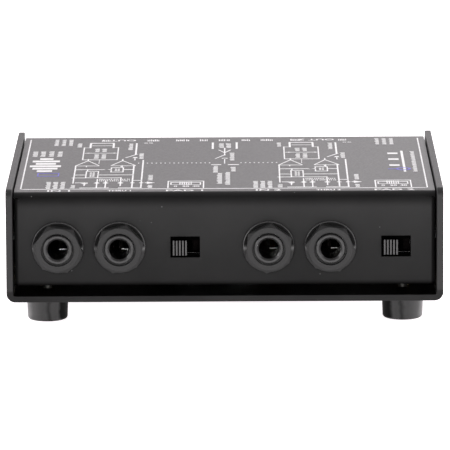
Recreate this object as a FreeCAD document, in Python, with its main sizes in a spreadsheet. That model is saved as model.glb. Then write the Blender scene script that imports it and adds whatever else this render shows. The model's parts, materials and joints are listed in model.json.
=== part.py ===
"""Two-channel active direct injection box, as an assembly of its separate pieces.

Frame: X to the right, Y towards the back, Z up, in millimetres. The box stands on z = 0
with the origin under the middle of its outline. The inputs are at the front, on the -Y side.
A piece that sits in a panel is drawn about its own axis, with y = 0 on the panel's outer
face and +Y going into the box, and is then placed; on the rear panel it is turned half round.
"""

import FreeCAD, Part
import math
import os
import re
import Sketcher

Vector = FreeCAD.Vector

# Every driving size: its name, its value in millimetres, degrees or pieces, and what it is.
DIMENSIONS = (
    ("case_width", 139.7, "over the two side walls"),
    ("case_depth", 114.3, "of the base and its side walls"),
    ("case_shift", 1.1, "middle of the base behind the origin; the jack nuts take it up"),
    ("wall_height", 36.5, "underside of the base to the top of a side wall"),
    ("wall_corner_radius", 2.4, "top corners of the side walls"),
    ("plate_thickness", 2.1, "sheet of the base"),
    ("plate_bend_radius", 2.8, "outside of the bend between base and wall"),
    ("plate_edge_radius", 0.3, "softened edge of the coated base sheet"),
    ("cover_thickness", 1.2, "sheet of the cover"),
    ("cover_bend_radius", 2.0, "outside of the bends between top and panels"),
    ("front_recess", 2.5, "front panel behind the front edge of the base"),
    ("rear_recess", 4.3, "rear panel in front of the rear edge of the base"),
    ("cover_drop", 1.3, "top of the cover below the top of the walls"),
    ("cover_side_gap", 0.5, "between the cover and each wall"),
    ("cover_floor_gap", 3.0, "between the panels' lower edge and the base"),
    ("flange_length", 9.0, "flanges of the panels, along the side walls"),
    ("flange_bend_radius", 1.4, "outside of the bends between panels and flanges"),
    ("relief_width", 1.5, "bend relief slit at the flanges' upper ends"),
    ("relief_height", 0.3, "bend relief slit at the flanges' upper ends"),
    ("foot_height", 7.9, "rubber foot"),
    ("foot_top_radius", 6.7, "rubber foot, at the base"),
    ("foot_low_radius", 6.4, "rubber foot, at the ground, before rounding"),
    ("foot_rounding", 1.0, "lower edge of the foot"),
    ("foot_recess_radius", 3.6, "recess for the screw's head"),
    ("foot_recess_depth", 4.0, "recess for the screw's head"),
    ("foot_across", 57.2, "feet from the middle, across"),
    ("foot_inset", 14.0, "feet from the front and rear edges of the base"),
    ("screw_radius", 1.4, "M3 screws, over the thread as drawn"),
    ("screw_hole_radius", 1.6, "clearance hole for an M3 screw"),
    ("flat_head_radius", 2.8, "countersunk head"),
    ("flat_head_depth", 1.3, "countersunk head"),
    ("flat_head_gap", 0.15, "countersink round the head"),
    ("flat_screw_length", 6.0, "countersunk screw, over all"),
    ("pan_head_radius", 2.75, "pan head"),
    ("pan_head_height", 2.2, "pan head"),
    ("recess_length", 2.8, "cross recess, over its arms"),
    ("recess_arm_width", 0.7, "cross recess"),
    ("recess_depth", 0.9, "cross recess"),
    ("foot_screw_length", 8.2, "shank of a foot screw, which ends above the base"),
    ("cover_screw_inset", 5.0, "cover screws behind the panel faces"),
    ("cover_screw_height", 28.0, "cover screws above the ground"),
    ("panel_axis_height", 25.3, "jacks and slide switches above the ground"),
    ("first_jack_across", -53.33, "input jack of channel 1"),
    ("thru_jack_pitch", 19.7, "input jack to through jack"),
    ("pad_switch_pitch", 41.0, "input jack to attenuator switch"),
    ("channel_pitch", 67.4, "channel 1 to channel 2, at the front"),
    ("jack_body_size", 15.6, "square body of a jack"),
    ("jack_body_depth", 28.0, "panel face to the back of the body"),
    ("jack_hole_radius", 4.95, "panel hole for a jack"),
    ("bushing_radius", 4.7, "threaded bushing, 3/8 inch"),
    ("bushing_length", 4.6, "bushing in front of the panel face"),
    ("jack_bore_radius", 3.25, "bore for a 6.35 mm plug"),
    ("jack_bore_end", 6.4, "end of the round bore behind the panel face"),
    ("jack_bore_chamfer", 0.55, "mouth of the bore"),
    ("bushing_chamfer", 0.3, "end of the thread"),
    ("jack_cavity_width", 9.6, "contact chamber"),
    ("jack_cavity_height", 10.4, "contact chamber"),
    ("contact_thickness", 0.35, "spring strip"),
    ("contact_width", 3.6, "spring strip"),
    ("contact_wall_offset", 4.4, "strips from the jack's axis, where they rest on the walls"),
    ("contact_leg_width", 1.2, "solder leg"),
    ("contact_leg_end", 10.6, "end of the legs below the jack's axis"),
    ("tip_crest_depth", 21.5, "tip contact's crest behind the panel face"),
    ("ring_crest_depth", 14.5, "ring contact's crest behind the panel face"),
    ("ring_crest_reach", 3.1, "ring contact's crest from the jack's axis"),
    ("tip_leg_gap", 0.6, "tip contact's leg behind the jack's body"),
    ("side_leg_gap", 1.6, "ring and sleeve contacts' legs behind the jack's body"),
    ("sleeve_finger_depth", 9.5, "sleeve contact's wire finger behind the panel face"),
    ("sleeve_finger_drop", 2.3, "sleeve contact's wire finger below the jack's axis"),
    ("sleeve_finger_radius", 0.25, "sleeve contact's wire finger"),
    ("sleeve_finger_length", 3.9, "sleeve contact's wire finger, from the wall"),
    ("nut_washer_radius", 8.25, "round foot of the nut"),
    ("nut_washer_thickness", 1.0, "round foot of the nut"),
    ("nut_across_flats", 14.0, "hexagon of the nut"),
    ("nut_height", 4.5, "nut over all"),
    ("nut_hole_radius", 4.8, "nut's hole, round the bushing"),
    ("nut_mouth_radius", 5.35, "wider mouth of the nut's hole"),
    ("nut_mouth_depth", 1.6, "wider mouth of the nut's hole"),
    ("nut_washer_rounding", 0.35, "rim of the nut's foot"),
    ("nut_chamfer", 0.7, "corners of the hexagon"),
    ("window_width", 9.45, "panel window of a slide switch"),
    ("window_height", 6.85, "panel window of a slide switch"),
    ("pad_window_shift", -0.3, "attenuator switch to its window"),
    ("shell_width", 15.2, "metal shell of a slide switch"),
    ("shell_height", 8.2, "metal shell of a slide switch"),
    ("shell_depth", 6.5, "metal shell of a slide switch"),
    ("shell_thickness", 0.5, "metal shell of a slide switch"),
    ("shell_leg_width", 1.5, "legs that stand the shell on the circuit board"),
    ("slot_width", 8.4, "slot of the shell"),
    ("slot_height", 4.2, "slot of the shell"),
    ("knob_width", 4.45, "sliding knob"),
    ("knob_height", 4.8, "sliding knob"),
    ("knob_reach", 2.0, "knob in front of the panel face"),
    ("knob_ridges", 5, "vertical ridges on the knob"),
    ("ridge_gap", 0.48, "between the ridges"),
    ("ridge_depth", 0.8, "height of the ridges"),
    ("stem_width", 3.6, "stem between knob and carriage"),
    ("stem_height", 2.7, "stem between knob and carriage"),
    ("carriage_width", 8.0, "carriage behind the slot"),
    ("carriage_height", 6.4, "carriage behind the slot"),
    ("carriage_depth", 2.2, "carriage behind the slot"),
    ("running_gap", 0.25, "sliding pieces clear of the shell"),
    ("switch_base_thickness", 1.5, "insulating base of a slide switch"),
    ("switch_step", 2.0, "between two positions of a slide switch"),
    ("terminal_pitch", 2.5, "solder terminals of a slide switch"),
    ("terminal_size", 0.7, "square section of a terminal"),
    ("terminal_reach", 2.0, "terminal behind the switch"),
    ("lift_switch_across", 19.0, "ground lift switches from the middle"),
    ("xlr_across", 40.0, "output connectors from the middle"),
    ("xlr_axis_height", 27.6, "output connectors above the ground"),
    ("xlr_flange_width", 24.0, "flange"),
    ("xlr_flange_height", 27.0, "flange"),
    ("xlr_flange_thickness", 2.0, "flange, outside the panel"),
    ("xlr_flange_corner", 4.0, "corner radius of the flange"),
    ("xlr_flange_rounding", 0.5, "outer rim of the flange"),
    ("xlr_barrel_radius", 10.8, "barrel"),
    ("xlr_barrel_depth", 20.0, "barrel behind the panel face"),
    ("xlr_barrel_flat", 10.0, "flat that stands over the circuit board, below the axis"),
    ("xlr_hole_radius", 11.1, "panel hole for the barrel"),
    ("xlr_cup_radius", 7.85, "cup that takes the plug"),
    ("xlr_cup_depth", 16.5, "cup behind the panel face"),
    ("xlr_key_width", 1.8, "key rib at the top of the cup"),
    ("xlr_key_height", 0.9, "key rib at the top of the cup"),
    ("xlr_key_depth", 1.5, "start of the key rib behind the panel face"),
    ("xlr_cup_chamfer", 0.6, "mouth of the cup"),
    ("xlr_pin_radius", 1.18, "contact pin"),
    ("xlr_pin_circle", 4.1, "radius that the three pins lie on"),
    ("xlr_pin_tip", 2.7, "tip of the pins behind the panel face"),
    ("xlr_pin_end", 22.4, "back of the pins behind the panel face"),
    ("xlr_leg_size", 1.0, "square solder leg of a pin"),
    ("xlr_screw_across", 9.2, "flange screws from the axis"),
    ("xlr_screw_up", 10.8, "flange screws from the axis"),
    ("board_top", 17.5, "top of the circuit board above the ground"),
    ("board_thickness", 1.6, "circuit board"),
    ("board_width", 128.0, "circuit board"),
    ("board_edge_gap", 3.2, "circuit board clear of the panels and their screws"),
    ("board_window_width", 66.0, "cut-out round the battery"),
    ("board_window_depth", 33.0, "cut-out round the battery"),
    ("lead_hole_radius", 0.9, "hole for a solder leg"),
    ("board_post_across", 58.0, "board supports from the middle"),
    ("board_post_front", -18.0, "front board supports"),
    ("board_post_rear", 26.0, "rear board supports"),
    ("board_post_flats", 5.5, "hexagonal board supports, across flats"),
    ("board_screw_length", 4.5, "shank of a board or clip screw"),
    ("battery_across", -3.0, "middle of the battery's body"),
    ("battery_length", 46.4, "battery without its studs"),
    ("battery_width", 26.5, "battery"),
    ("battery_height", 17.5, "battery"),
    ("battery_rounding", 1.8, "long edges of the battery"),
    ("stud_radius", 2.8, "battery's snap studs"),
    ("stud_height", 2.1, "battery's snap studs"),
    ("stud_pitch", 12.7, "battery's snap studs"),
    ("clip_thickness", 0.8, "battery clip's sheet"),
    ("clip_length", 24.0, "battery clip"),
    ("clip_height", 13.0, "battery clip's arms"),
    ("clip_ear", 7.0, "screwed ears of the clip"),
    ("snap_thickness", 4.2, "battery connector"),
    ("snap_width", 25.0, "battery connector"),
    ("snap_height", 14.5, "battery connector"),
    ("battery_lead_radius", 0.65, "insulated lead"),
    ("battery_lead_bend", 1.6, "bend radius of the leads"),
    ("battery_lead_reach", 3.0, "leads past the edge of the board's cut-out"),
    ("capacitor_radius", 4.0, "electrolytic capacitor"),
    ("capacitor_height", 11.5, "electrolytic capacitor"),
    ("capacitor_rounding", 0.6, "top edge of an electrolytic capacitor"),
    ("film_length", 7.2, "film capacitor"),
    ("film_width", 3.0, "film capacitor"),
    ("film_height", 7.0, "film capacitor"),
    ("chip_length", 9.6, "dual amplifier package"),
    ("chip_width", 6.4, "dual amplifier package"),
    ("chip_height", 3.4, "dual amplifier package"),
    ("chip_stand_off", 0.5, "package above the board"),
    ("resistor_radius", 1.15, "resistor"),
    ("resistor_length", 6.3, "resistor"),
    ("diode_radius", 0.9, "diode"),
    ("diode_length", 4.0, "diode"),
)

# Places that many pieces share, as expressions of the sizes above.
FRONT_FACE = "(case_shift - case_depth / 2 + front_recess)"
REAR_FACE = "(case_shift + case_depth / 2 - rear_recess)"
BASE_TOP = "(foot_height + plate_thickness)"
WALL_TOP = "(foot_height + wall_height)"
COVER_TOP = "(foot_height + wall_height - cover_drop)"
COVER_LOW = "(foot_height + plate_thickness + cover_floor_gap)"
COVER_SIDE = "(case_width / 2 - plate_thickness - cover_side_gap)"
FLANGE_TOP = "(foot_height + wall_height - cover_drop - cover_bend_radius)"
FOOT_FRONT = "(case_shift - case_depth / 2 + foot_inset)"
FOOT_REAR = "(case_shift + case_depth / 2 - foot_inset)"
SCREW_FRONT = "(case_shift - case_depth / 2 + front_recess + cover_screw_inset)"
SCREW_REAR = "(case_shift + case_depth / 2 - rear_recess - cover_screw_inset)"
TIP_LEG_BACK = "(jack_body_depth + tip_leg_gap)"
SIDE_LEG_BACK = "(jack_body_depth + side_leg_gap)"
CLIP_SCREW = "(case_shift + battery_width / 2 + clip_thickness + clip_ear / 2)"

# Where the jacks and switches are: the piece's name, its place across and its panel.
JACKS = (
    ("input_1", "first_jack_across", 7.3),
    ("thru_1", "(first_jack_across + thru_jack_pitch)", -13.8),
    ("input_2", "(first_jack_across + channel_pitch)", -24.7),
    ("thru_2", "(first_jack_across + channel_pitch + thru_jack_pitch)", 7.9),
)
SWITCHES = (
    ("pad_1", "(first_jack_across + pad_switch_pitch)", "front"),
    ("pad_2", "(first_jack_across + pad_switch_pitch + channel_pitch)", "front"),
    ("ground_lift_1", "(-lift_switch_across)", "rear"),
    ("ground_lift_2", "lift_switch_across", "rear"),
    ("power", "0", "rear"),
)
CONNECTORS = (
    ("1", "(-xlr_across)"),
    ("2", "xlr_across"),
)
PIN_ANGLES = (30, 150, 270)

HALF_TURN = FreeCAD.Rotation(Vector(0, 0, 1), 180)
UPSIDE_DOWN = FreeCAD.Rotation(Vector(1, 0, 0), 180)
TOUCH = 0.001

doc = FreeCAD.newDocument("direct_injection_box")
sheet = doc.addObject("Spreadsheet::Sheet", "Dimensions")
pieces = []


# ---------------------------------------------------------------- drawing helpers

def fill_sheet():
    """Write the driving sizes into the spreadsheet, each under its own alias."""
    for row, (alias, number, meaning) in enumerate(DIMENSIONS, start=1):
        sheet.set("A%d" % row, meaning)
        sheet.set("B%d" % row, str(number))
        sheet.setAlias("B%d" % row, alias)
    doc.recompute()


def bound(expression):
    """Point the size names in an expression at the spreadsheet's cells."""
    return re.sub(r"[a-z]+(_[a-z]+)+", lambda name: "Dimensions." + name.group(), expression)


def value(expression):
    """The number that an expression of the driving sizes comes to."""
    result = sheet.evalExpression(bound(expression))
    return float(getattr(result, "Value", result))


def point(across, back, up):
    """A point given by three expressions."""
    return Vector(value(across), value(back), value(up))


def minus(expression):
    """An expression with its sign turned."""
    return "(-(%s))" % expression


def new_body(name):
    """An empty body with the name of its piece."""
    body = doc.addObject("PartDesign::Body", name)
    body.Label = name
    return body


def new_sketch(body, plane, level="0"):
    """A sketch parallel to an origin plane of its body, at a place along the plane's axis."""
    sketch = body.newObject("Sketcher::SketchObject", body.Name + "_sketch")
    support = [item for item in body.Origin.OriginFeatures if item.Role == plane][0]
    sketch.AttachmentSupport = [(support, "")]
    sketch.MapMode = "FlatFace"
    distance = minus(level) if plane == "XZ_Plane" else level
    sketch.setExpression("AttachmentOffset.Base.z", bound(distance))
    return sketch


def hold(sketch, kind, geometry, position, expression):
    """Bind one coordinate of a sketch point to an expression."""
    constraint = Sketcher.Constraint(kind, -1, 1, geometry, position, value(expression))
    number = sketch.addConstraint(constraint)
    sketch.setExpression("Constraints[%d]" % number, bound(expression))


def add_polygon(sketch, corners):
    """A closed outline through corners given as pairs of expressions."""
    places = [Vector(value(across), value(up), 0) for across, up in corners]
    first = sketch.GeometryCount
    count = len(corners)
    for index in range(count):
        line = Part.LineSegment(places[index], places[(index + 1) % count])
        sketch.addGeometry(line, False)
    for index, (across, up) in enumerate(corners):
        following = first + (index + 1) % count
        sketch.addConstraint(Sketcher.Constraint("Coincident", first + index, 2, following, 1))
        hold(sketch, "DistanceX", first + index, 1, across)
        hold(sketch, "DistanceY", first + index, 1, up)


def add_rectangle(sketch, left, low, right, high):
    """An upright rectangle between two corners given as expressions."""
    add_polygon(sketch, [(left, low), (right, low), (right, high), (left, high)])


def add_centred_rectangle(sketch, width, height, across="0", up="0"):
    """A rectangle of a given width and height about a point."""
    left = "(%s - %s / 2)" % (across, width)
    right = "(%s + %s / 2)" % (across, width)
    low = "(%s - %s / 2)" % (up, height)
    high = "(%s + %s / 2)" % (up, height)
    add_rectangle(sketch, left, low, right, high)


def add_hexagon(sketch, across_flats):
    """A hexagon about the origin with flats at its top and bottom."""
    corners = []
    for step in range(6):
        arm = "%s / 2 / cos(30)" % across_flats
        corners.append(("%s * cos(%d)" % (arm, 60 * step), "%s * sin(%d)" % (arm, 60 * step)))
    add_polygon(sketch, corners)


def add_circle(sketch, across, up, radius):
    """A circle whose centre and radius are expressions."""
    centre = Vector(value(across), value(up), 0)
    circle = Part.Circle(centre, Vector(0, 0, 1), value(radius))
    geometry = sketch.addGeometry(circle, False)
    hold(sketch, "DistanceX", geometry, 3, across)
    hold(sketch, "DistanceY", geometry, 3, up)
    number = sketch.addConstraint(Sketcher.Constraint("Radius", geometry, value(radius)))
    sketch.setExpression("Constraints[%d]" % number, bound(radius))


def extrude(body, kind, sketch, length, toward="+", taper=0):
    """Pad or pocket a sketch along its plane's axis, up it, down it, or half each way."""
    volume = body.Shape.Volume if kind == "Pocket" else 0
    feature = body.newObject("PartDesign::" + kind, body.Name + "_" + kind.lower())
    feature.Profile = sketch
    feature.setExpression("Length", bound(length))
    if toward == "both":
        feature.SideType = "Symmetric"
    else:
        faces_back = sketch.AttachmentSupport[0][0].Role == "XZ_Plane"
        along_normal = (toward == "+") != faces_back
        feature.Reversed = along_normal == (kind == "Pocket")
    if taper:
        feature.TaperAngle = taper
    doc.recompute()
    if kind == "Pocket" and not body.Shape.Volume < volume - TOUCH:
        raise RuntimeError("a pocket of %s cuts nothing" % body.Label)
    return feature


def turn(body, kind, sketch, axis):
    """Revolve a sketch all round one of its own axes, as a solid or as a groove."""
    feature = body.newObject("PartDesign::" + kind, body.Name + "_" + kind.lower())
    feature.Profile = sketch
    feature.ReferenceAxis = (sketch, [axis])
    feature.Angle = 360
    doc.recompute()
    return feature


def dress(body, kind, size, *places):
    """Fillet or chamfer the edges of a body that pass through points given as expressions."""
    solid = body.Tip
    names = []
    for spot in places:
        vertex = Part.Vertex(point(*spot))
        found = [
            "Edge%d" % number
            for number, edge in enumerate(body.Shape.Edges, start=1)
            if edge.distToShape(vertex)[0] < TOUCH
        ]
        if not found:
            raise RuntimeError("%s has no edge at %s" % (body.Label, spot))
        names += [name for name in found if name not in names]
    feature = body.newObject("PartDesign::" + kind, body.Name + "_" + kind.lower())
    feature.Base = (solid, names)
    feature.setExpression("Radius" if kind == "Fillet" else "Size", bound(size))
    doc.recompute()
    if feature.State and {"Invalid", "Error"} & set(feature.State):
        raise RuntimeError("%s of %s by %s failed" % (kind, body.Label, size))
    return feature


def place(item, across, back, up, rotation=None):
    """Set a piece in the box, at a point given by expressions."""
    if rotation:
        item.Placement = FreeCAD.Placement(Vector(0, 0, 0), rotation)
    item.setExpression("Placement.Base.x", bound(across))
    item.setExpression("Placement.Base.y", bound(back))
    item.setExpression("Placement.Base.z", bound(up))


def keep(item):
    """Count an object as a piece of the box."""
    pieces.append(item)
    return item


def group(name, members):
    """One piece made of separate solids: pairs of a drawn body and a placement."""
    shapes = []
    for body, placement in members:
        shape = body.Shape.copy()
        shape.Placement = placement
        shapes.append(shape)
    item = doc.addObject("Part::Feature", name)
    item.Label = name
    item.Shape = Part.Compound(shapes)
    return keep(item)


def at(place_vector, rotation=None):
    """A placement at a point, turned if a rotation is given."""
    return FreeCAD.Placement(place_vector, rotation or FreeCAD.Rotation())


# ---------------------------------------------------------------- sheet-metal case

def make_base_chassis():
    """Base sheet and both side walls: one U-shaped sheet with bends along its sides."""
    body = new_body("base_chassis")
    outer = "(case_width / 2)"
    inner = "(case_width / 2 - plate_thickness)"
    channel = new_sketch(body, "XZ_Plane", "case_shift")
    add_polygon(channel, [
        (minus(outer), "foot_height"),
        (outer, "foot_height"),
        (outer, WALL_TOP),
        (inner, WALL_TOP),
        (inner, BASE_TOP),
        (minus(inner), BASE_TOP),
        (minus(inner), WALL_TOP),
        (minus(outer), WALL_TOP),
    ])
    extrude(body, "Pad", channel, "case_depth", "both")
    sides = (outer, minus(outer))
    dress(body, "Fillet", "plate_bend_radius", *[(side, "case_shift", "foot_height") for side in sides])
    inner_bend = "plate_bend_radius - plate_thickness"
    corners = [(side, "case_shift", BASE_TOP) for side in (inner, minus(inner))]
    dress(body, "Fillet", inner_bend, *corners)
    ends = ("(case_shift - case_depth / 2)", "(case_shift + case_depth / 2)")
    middle = "(case_width / 2 - plate_thickness / 2)"
    tips = [(side, end, WALL_TOP) for side in (middle, minus(middle)) for end in ends]
    dress(body, "Fillet", "wall_corner_radius", *tips)
    rims = [("0", end, level) for end in ends for level in ("foot_height", BASE_TOP)]
    dress(body, "Fillet", "plate_edge_radius", *rims)
    drill_base(body)
    return keep(body)


def drill_base(body):
    """Holes of the base sheet, and countersunk holes of the side walls."""
    holes = new_sketch(body, "XY_Plane", BASE_TOP)
    for side in ("foot_across", "(-foot_across)"):
        for row in (FOOT_FRONT, FOOT_REAR):
            add_circle(holes, side, row, "screw_hole_radius")
    for side in ("board_post_across", "(-board_post_across)"):
        for row in ("board_post_front", "board_post_rear"):
            add_circle(holes, side, row, "screw_hole_radius")
    for row in (CLIP_SCREW, "(2 * case_shift - %s)" % CLIP_SCREW):
        add_circle(holes, "battery_across", row, "screw_hole_radius")
    extrude(body, "Pocket", holes, "2 * plate_thickness", "-")
    through = new_sketch(body, "YZ_Plane")
    for row in (SCREW_FRONT, SCREW_REAR):
        add_circle(through, row, "cover_screw_height", "screw_hole_radius")
    extrude(body, "Pocket", through, "case_width + plate_thickness", "both")
    for side, toward in (("(case_width / 2)", "-"), ("(-case_width / 2)", "+")):
        sink = new_sketch(body, "YZ_Plane", side)
        for row in (SCREW_FRONT, SCREW_REAR):
            add_circle(sink, row, "cover_screw_height", "flat_head_radius + flat_head_gap")
        extrude(body, "Pocket", sink, "flat_head_depth", toward, taper=-45)


def make_top_cover():
    """Top, front panel and rear panel from one sheet, with flanges beside the walls."""
    body = new_body("top_cover")
    front_inside = "(%s + cover_thickness)" % FRONT_FACE
    rear_inside = "(%s - cover_thickness)" % REAR_FACE
    ceiling = "(%s - cover_thickness)" % COVER_TOP
    channel = new_sketch(body, "YZ_Plane")
    add_polygon(channel, [
        (FRONT_FACE, COVER_LOW),
        (front_inside, COVER_LOW),
        (front_inside, ceiling),
        (rear_inside, ceiling),
        (rear_inside, COVER_LOW),
        (REAR_FACE, COVER_LOW),
        (REAR_FACE, COVER_TOP),
        (FRONT_FACE, COVER_TOP),
    ])
    extrude(body, "Pad", channel, "2 * %s" % COVER_SIDE, "both")
    outer_bends = [("0", face, COVER_TOP) for face in (FRONT_FACE, REAR_FACE)]
    dress(body, "Fillet", "cover_bend_radius", *outer_bends)
    inner_bends = [("0", face, ceiling) for face in (front_inside, rear_inside)]
    dress(body, "Fillet", "cover_bend_radius - cover_thickness", *inner_bends)
    add_flanges(body)
    drill_panels(body)
    return keep(body)


def add_flanges(body):
    """Flanges bent back from the ends of both panels, with a relief slit above each."""
    side = COVER_SIDE
    inside = "(%s - cover_thickness)" % COVER_SIDE
    ends = (
        (FRONT_FACE, "(%s + flange_length)" % FRONT_FACE),
        ("(%s - flange_length)" % REAR_FACE, REAR_FACE),
    )
    flanges = new_sketch(body, "XY_Plane", COVER_LOW)
    for near, far in ends:
        add_rectangle(flanges, inside, near, side, far)
        add_rectangle(flanges, minus(side), near, minus(inside), far)
    extrude(body, "Pad", flanges, "%s - %s" % (FLANGE_TOP, COVER_LOW))
    relief = new_sketch(body, "XY_Plane", FLANGE_TOP)
    slit_inside = "(%s - relief_width)" % COVER_SIDE
    bends = (
        (FRONT_FACE, "(%s + cover_bend_radius)" % FRONT_FACE),
        ("(%s - cover_bend_radius)" % REAR_FACE, REAR_FACE),
    )
    for near, far in bends:
        add_rectangle(relief, slit_inside, near, "(case_width / 2)", far)
        add_rectangle(relief, "(-case_width / 2)", near, minus(slit_inside), far)
    extrude(body, "Pocket", relief, "relief_height", "+")
    faces = (FRONT_FACE, REAR_FACE)
    outer = [(edge, face, "panel_axis_height") for edge in (side, minus(side)) for face in faces]
    dress(body, "Fillet", "flange_bend_radius", *outer)
    for face, sign in ((FRONT_FACE, "+"), (REAR_FACE, "-")):
        depth = "(%s %s cover_thickness)" % (face, sign)
        inner = [(edge, depth, "panel_axis_height") for edge in (inside, minus(inside))]
        dress(body, "Fillet", "flange_bend_radius - cover_thickness", *inner)


def drill_panels(body):
    """Holes for the jacks, switches, connectors and screws."""
    front = new_sketch(body, "XZ_Plane", FRONT_FACE)
    for _, across, _ in JACKS:
        add_circle(front, across, "panel_axis_height", "jack_hole_radius")
    rear = new_sketch(body, "XZ_Plane", REAR_FACE)
    for _, across in CONNECTORS:
        add_circle(rear, across, "xlr_axis_height", "xlr_hole_radius")
        for sign in (1, -1):
            screw_across = "(%s + %d * xlr_screw_across)" % (across, sign)
            screw_up = "(xlr_axis_height + %d * xlr_screw_up)" % sign
            add_circle(rear, screw_across, screw_up, "screw_hole_radius")
    for _, across, panel in SWITCHES:
        window, middle = (rear, across) if panel == "rear" else (front, "(%s + pad_window_shift)" % across)
        add_centred_rectangle(window, "window_width", "window_height", middle, "panel_axis_height")
    extrude(body, "Pocket", front, "cover_thickness", "+")
    extrude(body, "Pocket", rear, "cover_thickness", "-")
    through = new_sketch(body, "YZ_Plane")
    for row in (SCREW_FRONT, SCREW_REAR):
        add_circle(through, row, "cover_screw_height", "screw_hole_radius")
    extrude(body, "Pocket", through, "case_width", "both")


# ---------------------------------------------------------------- screws and feet

def cut_cross_recess(body):
    """Cross recess in a screw's head, whose top is at z = 0."""
    cross = new_sketch(body, "XY_Plane")
    arm = "(recess_arm_width / 2)"
    end = "(recess_length / 2)"
    add_polygon(cross, [
        (end, minus(arm)), (end, arm), (arm, arm), (arm, end),
        (minus(arm), end), (minus(arm), arm), (minus(end), arm), (minus(end), minus(arm)),
        (minus(arm), minus(arm)), (minus(arm), minus(end)), (arm, minus(end)), (arm, minus(arm)),
    ])
    extrude(body, "Pocket", cross, "recess_depth", "-")


def draw_flat_screw():
    """Countersunk screw along Z, with the face of its head at z = 0."""
    body = new_body("flat_screw")
    profile = new_sketch(body, "XZ_Plane")
    add_polygon(profile, [
        ("0", "0"),
        ("0", "(-flat_screw_length)"),
        ("(screw_radius - 0.4)", "(-flat_screw_length)"),
        ("screw_radius", "(0.4 - flat_screw_length)"),
        ("screw_radius", "(-flat_head_depth)"),
        ("flat_head_radius", "(-0.1)"),
        ("flat_head_radius", "0"),
    ])
    turn(body, "Revolution", profile, "V_Axis")
    cut_cross_recess(body)
    return body


def draw_pan_screw(name, shank):
    """Pan-head screw along Z, with the top of its head at z = 0."""
    body = new_body(name)
    profile = new_sketch(body, "XZ_Plane")
    tip = "(-pan_head_height - %s)" % shank
    add_polygon(profile, [
        ("0", "0"),
        ("0", tip),
        ("(screw_radius - 0.4)", tip),
        ("screw_radius", "(0.4 - pan_head_height - %s)" % shank),
        ("screw_radius", "(-pan_head_height)"),
        ("pan_head_radius", "(-pan_head_height)"),
        ("pan_head_radius", "0"),
    ])
    turn(body, "Revolution", profile, "V_Axis")
    dress(body, "Fillet", "pan_head_height * 0.45", ("pan_head_radius", "0", "0"))
    cut_cross_recess(body)
    return body


def make_cover_screws(screw):
    """Two countersunk screws through each side wall into the cover's flanges."""
    members = []
    for side in (1, -1):
        outward = FreeCAD.Rotation(Vector(0, 1, 0), 90 * side)
        for row in (SCREW_FRONT, SCREW_REAR):
            head = point("%d * case_width / 2" % side, row, "cover_screw_height")
            members.append((screw, at(head, outward)))
    group("cover_screws", members)


def make_feet():
    """Rubber feet, each with a recess that hides its screw."""
    for row, back in (("front", FOOT_FRONT), ("rear", FOOT_REAR)):
        for side, across in (("left", "(-foot_across)"), ("right", "foot_across")):
            body = new_body("foot_%s_%s" % (row, side))
            profile = new_sketch(body, "XZ_Plane")
            add_polygon(profile, [
                ("screw_hole_radius", "foot_height"),
                ("screw_hole_radius", "foot_recess_depth"),
                ("foot_recess_radius", "foot_recess_depth"),
                ("foot_recess_radius", "0"),
                ("foot_low_radius", "0"),
                ("foot_top_radius", "foot_height"),
            ])
            turn(body, "Revolution", profile, "V_Axis")
            dress(body, "Fillet", "foot_rounding", ("foot_low_radius", "0", "0"))
            place(body, across, back, "0")
            keep(body)


def make_foot_screws():
    """Pan-head screws up through the feet; their ends stand above the base sheet."""
    screw = draw_pan_screw("foot_screw", "foot_screw_length")
    members = []
    for across in ("(-foot_across)", "foot_across"):
        for row in (FOOT_FRONT, FOOT_REAR):
            head = point(across, row, "foot_recess_depth - pan_head_height")
            members.append((screw, at(head, UPSIDE_DOWN)))
    group("foot_screws", members)


# ---------------------------------------------------------------- jacks

def make_jack_housing(name, across):
    """Moulded jack body with its bushing through the panel, open at the back."""
    body = new_body("jack_housing_" + name)
    block = new_sketch(body, "XZ_Plane", "cover_thickness")
    add_centred_rectangle(block, "jack_body_size", "jack_body_size")
    extrude(body, "Pad", block, "jack_body_depth - cover_thickness", "+")
    bushing = new_sketch(body, "XZ_Plane", "cover_thickness")
    add_circle(bushing, "0", "0", "bushing_radius")
    extrude(body, "Pad", bushing, "bushing_length + cover_thickness", "-")
    mouth = new_sketch(body, "XZ_Plane", "(-bushing_length)")
    add_circle(mouth, "0", "0", "jack_bore_radius")
    extrude(body, "Pocket", mouth, "bushing_length + jack_body_depth", "+")
    chamber = new_sketch(body, "XZ_Plane", "jack_bore_end")
    add_centred_rectangle(chamber, "jack_cavity_width", "jack_cavity_height")
    extrude(body, "Pocket", chamber, "jack_body_depth", "+")
    dress(body, "Chamfer", "jack_bore_chamfer", ("0", "(-bushing_length)", "jack_bore_radius"))
    dress(body, "Chamfer", "bushing_chamfer", ("0", "(-bushing_length)", "bushing_radius"))
    place(body, across, FRONT_FACE, "panel_axis_height")
    return keep(body)


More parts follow.
